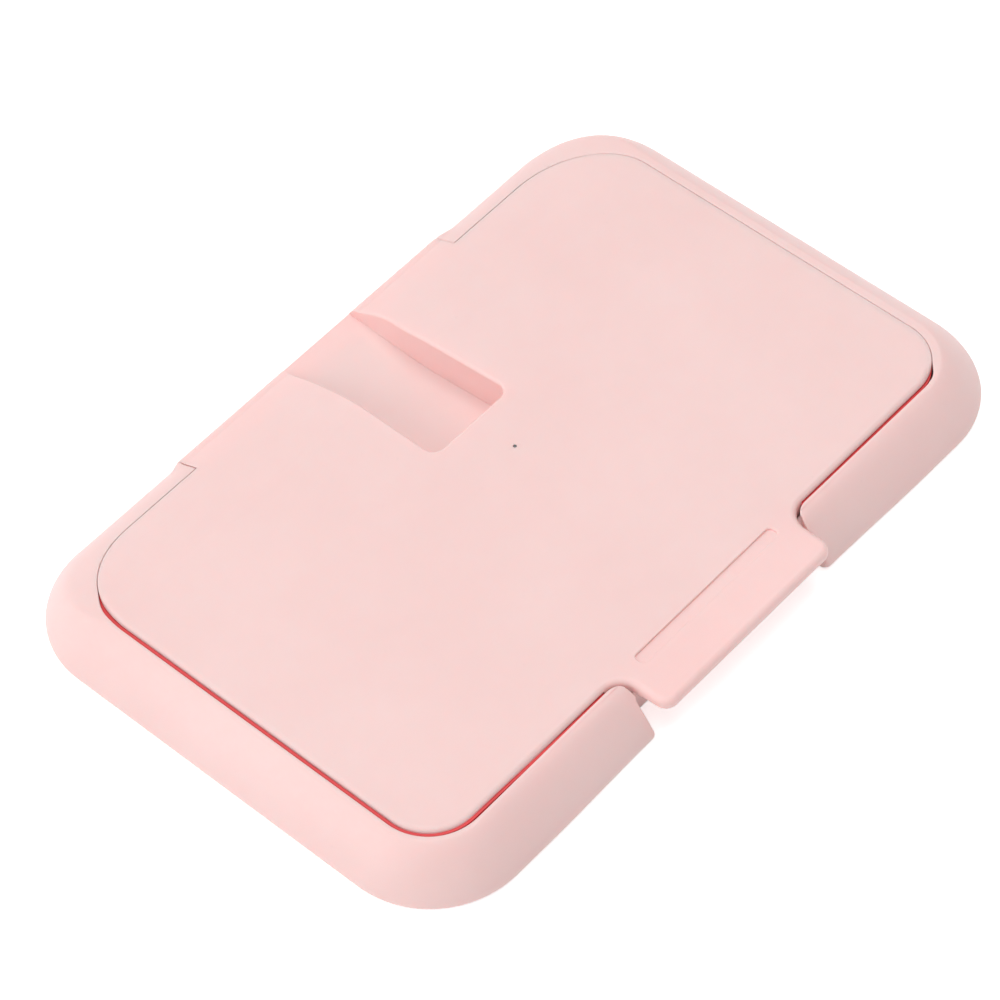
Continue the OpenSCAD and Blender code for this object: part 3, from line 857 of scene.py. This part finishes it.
@dataclass(frozen=True)
class Clear:
    """Clear moulded plastic."""

    name: str = "clear_pipe"

    def material(self) -> bpy.types.Material:
        """The finished material."""
        g = Graph(bpy.data.materials.new(self.name))
        haze = g.noise(2, 2)
        return g.shade(
            Base_Color=g.mix(haze * 0.3, (0.86, 0.9, 0.92), (0.7, 0.76, 0.8)),
            Roughness=haze * 0.1 + 0.06,
            Transmission_Weight=0.85,
            IOR=1.49,
            Normal=g.bump(haze, 0.004),
        )


SHELL_PINK: Colour = (0.935, 0.648, 0.628)
CORAL: Colour = (0.72, 0.055, 0.06)


class Finish(Enum):
    """The finishes of the unit, by the record's material slot."""

    shell_pink = Moulded("shell_pink", SHELL_PINK, glow=0.4)
    inner_pink = Moulded("inner_pink", (0.89, 0.61, 0.59), roughness=0.55, depth=0.009)
    coral_silicone = Rubbery("coral_silicone", CORAL, 0.55, 0.3, 0.006)
    foam_tape = Rubbery("foam_tape", (0.86, 0.86, 0.83), 0.9, 0.45, 0.06)
    white_foam = Rubbery("white_foam", (0.88, 0.88, 0.86), 0.95, 0.8, 0.12)
    red_silicone = Rubbery("red_silicone", (0.55, 0.02, 0.02), 0.5, 0.25, 0.004)
    black_silicone = Rubbery("black_silicone", (0.02, 0.02, 0.02), 0.5, 0.25, 0.004)
    steel = Metallic("zinc_steel", (0.62, 0.62, 0.64), 0.32)
    aluminium = Metallic("rolled_aluminium", (0.82, 0.83, 0.84), 0.36)
    socket_metal = Metallic("tinned_steel", (0.7, 0.7, 0.72), 0.26)
    amber_film = Film()
    board_green = Circuit()
    black_plastic = Moulded("black_moulding", (0.022, 0.022, 0.024), roughness=0.5, grain=0.15)
    ceramic_tan = Moulded("tan_ceramic", (0.5, 0.38, 0.24), roughness=0.6, grain=0.12)
    clear_plastic = Clear()


class Dresser:
    """Gives pieces and CAD nodes their materials, each made once."""

    def __init__(self) -> None:
        """Starts with no material made."""
        self.made: dict[Finish, bpy.types.Material] = {}

    def dress(self, item: bpy.types.Object, finish: Finish) -> None:
        """Gives a mesh one material all over.

        Args:
            item: The object.
            finish: Its finish.
        """
        if finish not in self.made:
            self.made[finish] = finish.value.material()
        item.data.materials.clear()
        item.data.materials.append(self.made[finish])

    def piece(self, item: bpy.types.Object, finish: Finish, body: str, node: str) -> None:
        """Dresses a new piece, which stands for a CAD node on its body.

        Args:
            item: The piece.
            finish: Its finish.
            body: The body that carries it.
            node: The CAD node that it replaces.
        """
        self.dress(item, finish)
        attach(item, body)
        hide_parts(node)
        log.info("%s: %d faces, for %s", item.name, len(item.data.polygons), node)

    def nodes(self, **finishes: Finish) -> None:
        """Dresses the CAD nodes that stay.

        Args:
            finishes: Each node's finish.
        """
        for name, finish in finishes.items():
            self.dress(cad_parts[name], finish)
            log.info("%s: CAD node in %s", name, finish.name)


@dataclass
class RimFrame:
    """Domed rim frame with its front gap and its hinge ears."""

    sizes: Sizes = field(default_factory=Sizes)
    dome: float = 9.3
    dome_power: float = 1.29
    dome_steps: int = 20
    foot: float = 1.5
    wall: float = 1.8
    plate: float = 1.2
    catch: float = 0.5
    bow: float = 0.6
    end_round: float = 1.2
    root_lean: float = 0.25
    ear_left: float = 3.0
    ear_right: float = 7.5
    ear_reach: float = 9.5
    pitch: float = 0.9

    def domed(self, name: str, inset: float, low: float) -> bpy.types.Object:
        """The frame's outer form, or its hollow when it is set in.

        Args:
            name: The object's name.
            inset: How far it is set in by a wall.
            low: Height of its underside.

        Returns:
            The form, with its fall.
        """
        plan = self.sizes.outer.inset(inset)
        top = self.sizes.top - inset
        item = plan.slab(name, low, top)
        rise, crown = top - self.foot, self.foot + self.dome
        resize, level = bpy.ops.transform.resize, (0, 0, self.foot)
        Bench.whole(item, resize, value=(1, 1, self.dome / rise), center_override=level)
        Bench.bevel(
            item,
            self.dome,
            self.dome_steps,
            lambda a, b, n: min(a.z, b.z) > crown - NEAR and walled(n),
            profile=2 ** (-2 / self.dome_power),
        )
        Bench.whole(item, resize, value=(1, 1, rise / self.dome), center_override=level)
        if low >= 0:
            Bench.bevel(item, self.foot - LOOSE, 5, lambda a, b, n: max(a.z, b.z) < NEAR and walled(n))
        corner = plan.rear - plan.rear_corner
        ring = plan.rear_corner - self.dome
        Bench.slices(item, 1, [corner - self.pitch * i for i in (4, 3, 2, 1)])
        turns = [math.pi / 2 * i / CORNER_STEPS for i in range(1, CORNER_STEPS) if i < 17 or i % 2 == 0]
        flat_top: FaceTest = lambda c, n: n.z > 0.99 and c.z > top - NEAR
        Bench.slices(item, 1, [corner + ring * math.sin(turn) for turn in turns], flat_top)
        self.sizes.fall.soften(item, top, self.foot)
        return item

    def hollow(self) -> bpy.types.Object:
        """The hollow between the skin and the inner wall."""
        s = self.sizes
        item = self.domed("hollow", self.wall, -8.0)
        Bench.combine(item, s.well.inset(-self.wall).slab("inner", -12, 20))
        half, ear = s.gap_half + self.wall, s.ear + self.ear_reach
        Bench.cut(item, (-half, -FAR, BELOW), (half, s.well.front - 1, ABOVE))
        Bench.cut(item, (-ear, 50, BELOW), (ear, FAR, ABOVE))
        return item

    def plate_seat(self) -> bpy.types.Object:
        """The seat of the base plate, a hair wider than the hollow above it."""
        s = self.sizes
        hair = 0.03
        item = s.outer.inset(self.wall - hair).slab("seat", -CUT, self.plate)
        half, ear = s.gap_half + self.wall - hair, s.ear + self.ear_reach - hair
        Bench.cut(item, (-half, -FAR, BELOW), (half, s.well.front + hair, ABOVE))
        Bench.cut(item, (-ear, s.well.rear - hair, BELOW), (ear, FAR, ABOVE))
        return item

    def shell(self) -> bpy.types.Object:
        """The rim moulding."""
        s = self.sizes
        item = self.domed("rim_shell", 0.0, 0.0)
        self.ears(item)
        Bench.combine(item, self.hollow())
        Bench.combine(item, s.well.slab("well", -CUT, s.top + CUT))
        inner = s.well.front - self.wall
        Bench.cut(item, (-s.gap_half, -FAR, -CUT), (s.gap_half, inner, ABOVE))
        Bench.combine(item, s.gap("over", 0.0, s.root[1], s.tab_under - 0.3, 20))
        Bench.cut(item, (-s.notch, s.well.rear - 4, -CUT), (s.notch, FAR, ABOVE))
        Bench.combine(item, self.plate_seat())
        self.soften(item)
        catch = Bench.block("catch", (-10, inner - self.catch, 7), (10, inner + 0.3, 7.8))
        Bench.combine(item, catch, Cut.ADD)
        for start in (-s.ear - 8, s.ear - 1):
            pin_hole = Bench.bar("pin_hole", s.pin + 0.02, (start, s.hinge_y, s.hinge_z), 9, Axis.X, 32)
            Bench.combine(item, pin_hole)
        self.close(item)
        return item

    def ears(self, item: bpy.types.Object) -> None:
        """Brings the hinge ears up to the lid's hinge part, and bows the front in at the gap.

        Args:
            item: The frame's outer form.
        """
        s = self.sizes
        ears = [s.notch + self.pitch * i for i in range(10)]
        ends = [s.gap_half + self.end_round * k for k in (0.02, 0.12, 0.28, 0.5, 0.75, 1.0)]
        cuts: list[tuple[Iterable[float], FaceTest]] = [
            (ears, lambda c, n: c.y > 50 and n.z > -0.1),
            (ends, lambda c, n: c.y < s.root[1] - 0.4),
            (range(34, 66, 4), lambda c, n: c.y < -52),
        ]
        for places, test in cuts:
            Bench.slices(item, 0, [side * x for x in places for side in (-1, 1)], test)

        def moved(point: Vector) -> Point:
            """The vertex's shift."""
            if point.y < -55:
                off = max(0.0, s.gap_half + self.end_round - abs(point.x))
                round_off = self.end_round - math.sqrt(self.end_round**2 - min(off, self.end_round) ** 2)
                bow = self.bow * (1 - smooth(28, 62, abs(point.x))) * smooth(-55, -60, point.y)
                round_off *= smooth(s.root[1] - 0.2, s.root[1] - 1.5, point.y)
                return 0, bow + 0.7 * round_off, -0.7 * round_off * smooth(self.foot, 4, point.z)
            if point.y < 54 or point.z < s.hinge_z:
                return 0, 0, 0
            reach = self.ear_right if point.x > 0 else self.ear_left
            share = 1 - smooth(s.notch, s.notch + reach, abs(point.x))
            return 0, 0, share * max(0.0, s.hinge_top(point.y) - point.z)

        Bench.reshape(item, moved)

    def close(self, item: bpy.types.Object) -> None:
        """Leans the right and rear inner walls towards the lid, so that the seam closes up there.

        Args:
            item: The rim moulding.
        """
        s = self.sizes

        def leaned(point: Vector) -> Point:
            """The vertex's shift."""
            if point.z < s.fall.height(point.y) - 0.6:
                return 0, 0, 0
            root = Vector((abs(point.x) - s.root[0], point.y - s.root[1]))
            if root.x < 0 < root.y and -0.35 < root.length - s.root_radius < 0.02:
                move = root.normalized() * self.root_lean
                return math.copysign(move.x, point.x * move.x), move.y, 0
            beyond, out = s.well.side(point.x, point.y)
            if not -0.02 < beyond < 0.35:
                return 0, 0, 0
            near_root = self.root_lean * (1 - smooth(36, 58, abs(point.x))) if point.y < 0 else 0.0
            move = out * -max(s.lean * s.closed(out), near_root)
            return move.x, move.y, s.fall.depth(point.y) - s.fall.depth(point.y + move.y)

        Bench.reshape(item, leaned)

    def soften(self, item: bpy.types.Object) -> None:
        """Rounds the frame's edges as the mould does.

        Args:
            item: The rim moulding.
        """
        s = self.sizes
        inner = s.root[1] - 4.1

        def notched(a: Vector, b: Vector, normals: list[Vector]) -> bool:
            """Whether an edge is on the outside of the hinge's notch."""
            on = all(abs(abs(v.x) - s.notch) < NEAR for v in (a, b)) and any(abs(v.x) > 0.99 for v in normals)
            return on and any(v.z > 0.3 or v.y > 0.5 for v in normals)

        def lipped(a: Vector, b: Vector, normals: list[Vector]) -> bool:
            """Whether an edge is the well's upper lip, past the ends at the gap."""
            wall = len(normals) == 2 and walled(normals, 0.12) and max(v.z for v in normals) > 0.35
            past = min(abs(abs(v.x) - s.gap_half) + max(0.0, v.y - s.root[1] + 0.2) for v in (a, b)) > LOOSE
            near = max(abs(a.x), abs(b.x)) < s.well.half + LOOSE and min(a.y, b.y) > inner
            return wall and past and near and min(a.z, b.z) > 5

        Bench.bevel(item, 0.4, 3, notched)
        Bench.bevel(item, 0.3, 3, lipped)

    def build(self, dresser: Dresser) -> None:
        """Makes the rim frame and dresses what it carries.

        Args:
            dresser: Gives the materials.
        """
        shell = self.shell()
        Bench.finish(shell)
        dresser.piece(shell, Finish.shell_pink, "base", "rim_frame")
        dresser.nodes(
            base_plate=Finish.inner_pink,
            window_seal=Finish.coral_silicone,
            adhesive_ring=Finish.foam_tape,
            hinge_pins=Finish.steel,
            base_screws=Finish.steel,
        )


@dataclass(frozen=True)
class Band:
    """Section of a strip along the lid's side: its heights, and how far its outlines are set in."""

    low: float
    high: float
    out: float
    inner: float


@dataclass
class LidUnit:
    """Flip lid: top moulding, seal, liner and what it holds."""

    sizes: Sizes = field(default_factory=Sizes)
    low: float = 1.7
    edge: float = 1.4
    wall: float = 1.8
    skirt: float = 1.0
    shelf: float = 3.3
    relief: float = 5.593
    swing_margin: float = 0.05
    recess_end: float = 16.0
    recess_left: float = -8.6
    recess_width: float = 23.6
    recess_mouth: float = 22.3
    recess_taper: float = 38.1
    recess_floor: float = 2.7
    recess_corner: float = 2.8
    groove_y: float = -51.5
    groove_width: float = 2.9
    groove_depth: float = 0.65
    groove_shallow: float = 0.3
    groove_half: float = 22.0
    groove_end: float = 1.15
    groove_lip: float = 0.25
    lip: float = 0.8
    tab_edge: float = 1.0
    pinhole: float = 0.45
    pinhole_at: tuple[float, float] = (4.1, 4.3)
    seal_seat: Band = Band(9.95, 11.45, -0.7, 0.85)
    seal: Band = Band(10.0, 11.4, -0.45, 0.8)
    bead: Band = Band(10.5, 12.0, -0.6, 0.12)
    bead_end: float = -34.0
    seal_end: float = 47.5
    seal_shift: float = 0.3
    seal_sunk: float = 0.2
    ease: float = 0.9
    floor_rise: float = 1.0
    rise_along: tuple[float, float] = (54.0, 63.0)
    mouth_flare: float = 1.0
    flare_start: tuple[float, float] = (44.0, 54.0)
    flare_end: tuple[float, float] = (56.0, 63.0)
    bent_above: float = 9.3
    lip_fade: float = 3.2
    front_crease: float = -50.0
    front_tilt: float = 0.02

    def blank(self) -> bpy.types.Object:
        """The lid's outer form while its top is still flat: slab, tab and hinge part."""
        s = self.sizes
        item = s.lid.slab("lid_shell_smooth", self.low, s.top)
        tab = s.gap("tab", s.seam, s.tab_front, s.tab_under, s.top)
        Bench.bevel(tab, 3.0, 8, lambda a, b, n: upright(a, b) and a.y < s.tab_front + NEAR)
        Bench.combine(item, tab, Cut.ADD)
        Bench.whole(item, bpy.ops.mesh.remove_doubles, threshold=0.002)
        Bench.whole(item, bpy.ops.mesh.dissolve_limited, angle_limit=math.radians(0.2))

        def under(a: Vector, b: Vector, normals: list[Vector]) -> bool:
            """Whether an edge is on the tab's underside."""
            return max(a.y, b.y) < s.root[1] + NEAR and max(a.z, b.z) < s.tab_under + NEAR and walled(normals)

        Bench.bevel(item, self.edge, 6, lambda a, b, n: min(a.z, b.z) > s.top - NEAR and walled(n))
        Bench.bevel(item, self.tab_edge, 4, under)
        Bench.reshape(item, self.eased)
        half = s.hinge_half
        part = Bench.block("hinge_part", (-half, s.lid.rear - 6, self.low), (half, s.hinge_y, s.top))
        barrel = Bench.bar("barrel", s.barrel, (-half, s.hinge_y, s.hinge_z), 2 * half, Axis.X)
        for solid in (part, barrel, self.hook()):
            Bench.combine(item, solid, Cut.ADD)
        return item

    def eased(self, point: Vector) -> Point:
        """Makes the rounded edge shallow where the seam closes up."""
        beyond, out = self.sizes.lid.side(point.x, point.y)
        over = self.sizes.top - point.z
        if beyond < -self.edge - NEAR or not 0 < over < self.edge + NEAR:
            return 0, 0, 0
        return 0, 0, over * self.ease * self.sizes.closed(out)

    def lower(self, item: bpy.types.Object) -> None:
        """Bends the flat top and all that hangs on it down with the fall.

        Args:
            item: The lid's moulding, with its top still flat.
        """
        s = self.sizes

        def lowered(point: Vector) -> Point:
            """The vertex's shift; the recess's lips end at the hinge barrel, to which its floor rises."""
            over = s.top - point.z
            across = self.recess_left - 0.1 < point.x < -self.recess_left * 2
            if abs(point.z - self.recess_floor) < NEAR and across:
                return 0, 0, self.floor_rise * smooth(*self.rise_along, point.y)
            if point.z < self.bent_above:
                return 0, 0, 0
            if over < 1.0 and point.y > s.hinge_y - self.lip_fade:
                over *= max(0.01, (s.hinge_y - point.y) / self.lip_fade)
            tilt = self.front_tilt * max(0.0, self.front_crease - point.y)
            return 0, 0, s.fall.height(point.y) - over - point.z - tilt

        Bench.slices(item, 1, [self.front_crease, *s.fall.lines(s.hinge_y)])
        Bench.reshape(item, lowered)
        self.flare(item)

    def flare(self, item: bpy.types.Object) -> None:
        """Widens the recess's mouth at the top of its right wall.

        Args:
            item: The lid's moulding, with its fall.
        """
        wall = self.recess_left + self.recess_mouth

        def flared(point: Vector) -> Point:
            """The vertex's shift."""
            if not wall - LOOSE < point.x < wall + self.lip + LOOSE or point.z < self.recess_floor:
                return 0, 0, 0
            height = smooth(-1, 2, (point.z - self.recess_floor) / 3)
            along = smooth(*self.flare_start, point.y) * (1 - smooth(*self.flare_end, point.y))
            return self.mouth_flare * along * height, 0, 0

        Bench.reshape(item, flared)

    def room(self, inset: float, low: float, high: float) -> bpy.types.Object:
        """A part of the room inside the lid, under a flat ceiling.

        Args:
            inset: Its distance from the lid's outline.
            low: Height of its floor.
            high: Height of its ceiling.

        Returns:
            The room's solid.
        """
        s = self.sizes
        item = replace(s.lid, rear=s.hinge_y - self.relief).inset(inset).slab("room", low, high)
        right = self.recess_left + self.recess_width + inset
        Bench.cut(item, (self.recess_left - inset, self.recess_end - inset, BELOW), (right, FAR, ABOVE))
        return item

    def recess(self) -> bpy.types.Object:
        """The plug recess's solid, narrower towards the hinge edge."""
        left, right = self.recess_left, self.recess_left + self.recess_width
        item = Bench.block("recess", (left, self.recess_end, self.recess_floor), (right, FAR, ABOVE))
        Bench.slices(item, 1, [self.recess_taper])
        start, narrower = self.recess_taper - 0.1, self.recess_mouth - self.recess_width
        Bench.push(item, (narrower, 0, 0), lambda p: p.x > 0 and p.y > start)
        inner = self.recess_end + NEAR
        Bench.bevel(item, self.recess_corner, 10, lambda a, b, n: upright(a, b) and a.y < inner)
        return item

    def groove(self) -> bpy.types.Object:
        """The groove's solid at the tab's root: a step down and a ramp back up."""
        top = self.sizes.top
        back, front = self.groove_y, self.groove_y - self.groove_width
        half, rise = self.groove_half, self.groove_depth - self.groove_shallow
        item = Bench.block("groove", (-half, front, top - self.groove_depth), (half, back, top + 2))
        Bench.bevel(item, self.groove_end, 6, lambda a, b, n: upright(a, b))
        Bench.reshape(item, lambda p: (0, 0, 0 if p.z > top else rise * (back - p.y) / self.groove_width))
        return item

    def hook(self) -> bpy.types.Object:
        """The snap hook that hangs from the tab."""
        item = Bench.block("hook", (-9, -57.2, 5.1), (9, -55.9, self.sizes.tab_under + 0.6))
        Bench.slices(item, 2, [6.1, 6.7])
        Bench.push(item, (0, 0.55, 0), lambda p: p.y > -56 and 6.0 < p.z < 6.8)
        return item

    def relieve(self, item: bpy.types.Object) -> None:
        """Sets the rear wall in by what the rim's edge needs as the lid swings past it.

        Args:
            item: The lid's moulding.
        """
        s = self.sizes
        well = s.well
        start = s.hinge_half + 0.2

        def reach(x: float) -> float:
            """Radius about the hinge axis that stays clear."""
            sine = min(1.0, max(0.0, (abs(x) - well.half + well.rear_corner) / well.rear_corner))
            cosine = math.sqrt(1 - sine * sine)
            y = well.rear - well.rear_corner * (1 - cosine)
            y -= s.lean * s.closed(Vector((math.copysign(sine, x), cosine))) * cosine
            return math.hypot(y - s.hinge_y, s.fall.height(y) - s.hinge_z) + self.swing_margin

        def relieved(point: Vector) -> Point:
            """The vertex's shift."""
            off = point.z - s.hinge_z
            free = reach(point.x) ** 2 - off * off
            if abs(point.x) < start - LOOSE or point.y < 30 or free <= 0:
                return 0, 0, 0
            return 0, min(0.0, s.hinge_y - math.sqrt(free) - point.y), 0

        Bench.slices(item, 0, [-start, start], lambda c, n: c.y > 52)
        rear_wall: FaceTest = lambda c, n: c.y > 36 and n.y > 0.02 and abs(n.z) < 0.4 and abs(c.x) > start
        Bench.slices(item, 2, [2.2 + 0.6 * i for i in range(16)], rear_wall)
        Bench.reshape(item, relieved)

    def ring(self, name: str, band: Band, slack: float = 0.0) -> bpy.types.Object:
        """A strip along the lid's side, while its top is still flat.

        Args:
            name: The object's name.
            band: Its section.
            slack: Room round its ends.

        Returns:
            The strip's solid, in two halves.
        """
        s = self.sizes
        item = s.lid.inset(band.out).slab(name, band.low, band.high)
        Bench.combine(item, s.lid.inset(band.inner).slab("inside", band.low - 5, band.high + 5))
        Bench.cut(item, (-FAR, self.seal_end + slack, BELOW), (FAR, FAR, ABOVE))
        half = s.root[0] - slack
        Bench.cut(item, (-half, -FAR, BELOW), (half, s.lid.front + 3, ABOVE))
        return item

    def shell(self) -> bpy.types.Object:
        """The lid's top moulding."""
        s = self.sizes
        item = self.blank()
        Bench.combine(item, self.recess())
        self.lips(item)
        Bench.combine(item, self.groove())
        self.groove_lips(item)
        Bench.combine(item, self.room(self.skirt, -5.0, self.shelf))
        Bench.combine(item, self.room(self.wall, self.low + 0.5, s.top - self.wall))
        Bench.combine(item, self.ring("seal_seat", self.seal_seat, 0.05))
        Bench.combine(item, Bench.bar("pinhole", self.pinhole, (*self.pinhole_at, 9), 6, sides=24))
        self.lower(item)
        self.relieve(item)
        return item

    def lips(self, item: bpy.types.Object) -> None:
        """Rounds the recess's upper edges as the mould does.

        Args:
            item: The lid's moulding, with its top still flat.
        """
        left, right = self.recess_left, self.recess_left + self.recess_width

        def lip(a: Vector, b: Vector, normals: list[Vector]) -> bool:
            """Whether an edge is on the recess's upper rim."""
            inner = self.recess_end - LOOSE
            inside = all(left - LOOSE < v.x < right + LOOSE and v.y > inner for v in (a, b))
            walls = walled(normals, 0.05) and max(v.z for v in normals) > 0.9
            along = abs(a.x - b.x) < NEAR or max(a.y, b.y) < self.recess_taper + 0.1
            return inside and walls and along and min(a.z, b.z) > self.sizes.top - NEAR

        Bench.bevel(item, self.lip, 5, lip)

    def groove_lips(self, item: bpy.types.Object) -> None:
        """Rounds the groove's upper edges.

        Args:
            item: The lid's moulding, with its top still flat.
        """
        back, front, top = self.groove_y, self.groove_y - self.groove_width, self.sizes.top

        def lip(a: Vector, b: Vector, normals: list[Vector]) -> bool:
            """Whether an edge is on the groove's upper rim."""
            half = self.groove_half + LOOSE
            inside = all(abs(v.x) < half and front - LOOSE < v.y < back + LOOSE for v in (a, b))
            return inside and min(a.z, b.z) > top - NEAR and walled(normals)

        Bench.bevel(item, self.groove_lip, 3, lip)

    def strip(self) -> bpy.types.Object:
        """The coral strip in the seam, which lies over to the left and stands highest there."""
        s = self.sizes
        item = self.ring("seam_strip", self.seal)
        bead = self.ring("bead", self.bead, 0.3)
        Bench.cut(bead, (self.bead_end, -FAR, BELOW), (FAR, FAR, ABOVE))
        Bench.combine(item, bead, Cut.ADD)
        Bench.bevel(item, 0.15, 2, lambda a, b, n: len(n) == 2 and n[0].angle(n[1]) > 1.0)
        Bench.slices(item, 0, [-78, -72, -66, -60, -52, -44, -36], lambda c, n: c.y < -40)
        Bench.slices(item, 1, [24.0, 28.0, 32.0, 36.0, *s.fall.lines(self.seal_end)])

        def placed(point: Vector) -> Point:
            """The vertex's shift."""
            left = smooth(-38, -72, point.x) * (1 - smooth(26, 46, point.y))
            above = max(0.0, point.z - 11.2)
            sunk = self.seal_sunk * smooth(-70, -40, point.x) * smooth(10.2, 11.2, point.z)
            beyond, out = s.lid.side(point.x, point.y)
            closed = s.closed(out)
            draw = out * -0.8 * closed * max(0.0, beyond)
            over = above * (left - 1) * 0.9 - sunk - s.fall.depth(point.y)
            return draw.x - self.seal_shift * (1 - closed), draw.y, over

        Bench.reshape(item, placed)
        return item

    def build(self, dresser: Dresser) -> None:
        """Makes the lid and dresses what it carries.

        Args:
            dresser: Gives the materials.
        """
        shell = self.shell()
        Bench.finish(shell)
        dresser.piece(shell, Finish.shell_pink, "lid", "lid_shell")
        seal = self.strip()
        Bench.finish(seal)
        dresser.piece(seal, Finish.coral_silicone, "lid", "seam_seal")
        dresser.nodes(
            lid_liner=Finish.inner_pink,
            liner_gasket=Finish.coral_silicone,
            liner_screws=Finish.steel,
            heater_plate=Finish.aluminium,
            heater_film=Finish.amber_film,
            insulation_pad=Finish.white_foam,
            control_board=Finish.board_green,
            board_screws=Finish.steel,
            power_socket=Finish.socket_metal,
            controller_chip=Finish.black_plastic,
            power_transistor=Finish.black_plastic,
            board_capacitors=Finish.ceramic_tan,
            status_led=Finish.clear_plastic,
            light_pipe=Finish.clear_plastic,
            thermistor=Finish.black_plastic,
            thermal_fuse=Finish.socket_metal,
            lead_red=Finish.red_silicone,
            lead_black=Finish.black_silicone,
        )


@dataclass(frozen=True)
class Lamp:
    """A soft square lamp that looks at the object; sizes in metres, power in watts."""

    name: str
    place: Point
    size: float
    power: float

    def hang(self) -> None:
        """Adds the lamp to the scene."""
        data = bpy.data.lights.new(self.name, "AREA")
        data.shape, data.size, data.energy = "SQUARE", self.size, self.power
        item = bpy.data.objects.new(self.name, data)
        bpy.context.scene.collection.objects.link(item)
        item.location = self.place
        item.rotation_euler = (-Vector(self.place)).to_track_quat("-Z", "Y").to_euler()


@dataclass
class Studio:
    """Pale floor, soft light and the camera at the photograph's angle."""

    azimuth: float = -44.54844
    elevation: float = 52.06659
    roll: float = -4.70144
    distance: float = 937.013
    pan: tuple[float, float] = (-4.23156, 0.08583)
    focal_pixels: float = 4341.686
    image: float = 1000.0
    rise: float = 1.5
    floor_colour: Colour = (0.93, 0.93, 0.93)
    floor_glow: float = 0.55
    surround: float = 0.5
    lamps: tuple[Lamp, ...] = (
        Lamp("key", (-1.3, 0.45, 0.75), 1.0, 7.2),
        Lamp("top", (0.05, 0.15, 1.6), 1.4, 13.0),
    )

    def camera(self) -> None:
        """Puts the camera where the photograph was taken from."""
        a, e, r = (math.radians(v) for v in (self.azimuth, self.elevation, self.roll))
        back = Vector((math.sin(a) * math.cos(e), -math.cos(a) * math.cos(e), math.sin(e)))
        right = (-back).cross(Vector((0, 0, 1))).normalized()
        up = right.cross(-back)
        place = back * self.distance + right * self.pan[0] + up * self.pan[1] + Vector((0, 0, self.rise))
        turned = right * math.cos(r) + up * math.sin(r)
        raised = up * math.cos(r) - right * math.sin(r)
        data = bpy.data.cameras.new("camera")
        data.sensor_width = 36.0
        data.lens = self.focal_pixels / self.image * data.sensor_width
        data.clip_start, data.clip_end = 0.01, 20.0
        item = bpy.data.objects.new("camera", data)
        bpy.context.scene.collection.objects.link(item)
        basis = Matrix((turned, raised, back)).transposed().to_4x4()
        basis.translation = place * MM
        item.matrix_world = basis
        bpy.context.scene.camera = item

    def floor(self) -> None:
        """A wide pale floor, which isn't part of the object."""
        Bench.clear()
        bpy.ops.mesh.primitive_plane_add(size=8.0, location=(0, 0, -0.0002))
        item = Bench.settle("floor")
        g = Graph(bpy.data.materials.new("pale_floor"))
        g.shade(
            Base_Color=self.floor_colour,
            Roughness=0.9,
            Emission_Color=g.mix(g.seen(), (0.0, 0.0, 0.0), (1.0, 1.0, 1.0)),
            Emission_Strength=self.floor_glow,
        )
        item.data.materials.append(g.owner)

    def world(self) -> None:
        """An even pale surround, which is white where it is seen directly."""
        g = Graph(bpy.data.worlds.new("surround"))
        g.shade(Color=(1.0, 1.0, 1.0), Strength=g.seen() * (1 - self.surround) + self.surround)
        bpy.context.scene.world = g.owner

    def build(self) -> None:
        """Sets up the studio."""
        self.camera()
        self.floor()
        for lamp in self.lamps:
            lamp.hang()
        self.world()
        bpy.context.scene.view_settings.view_transform = "Standard"


def main() -> None:
    """Builds the studio and the unit, piece by piece."""
    Studio().build()
    dresser = Dresser()
    RimFrame().build(dresser)
    LidUnit().build(dresser)


if __name__ == "__main__":
    main()
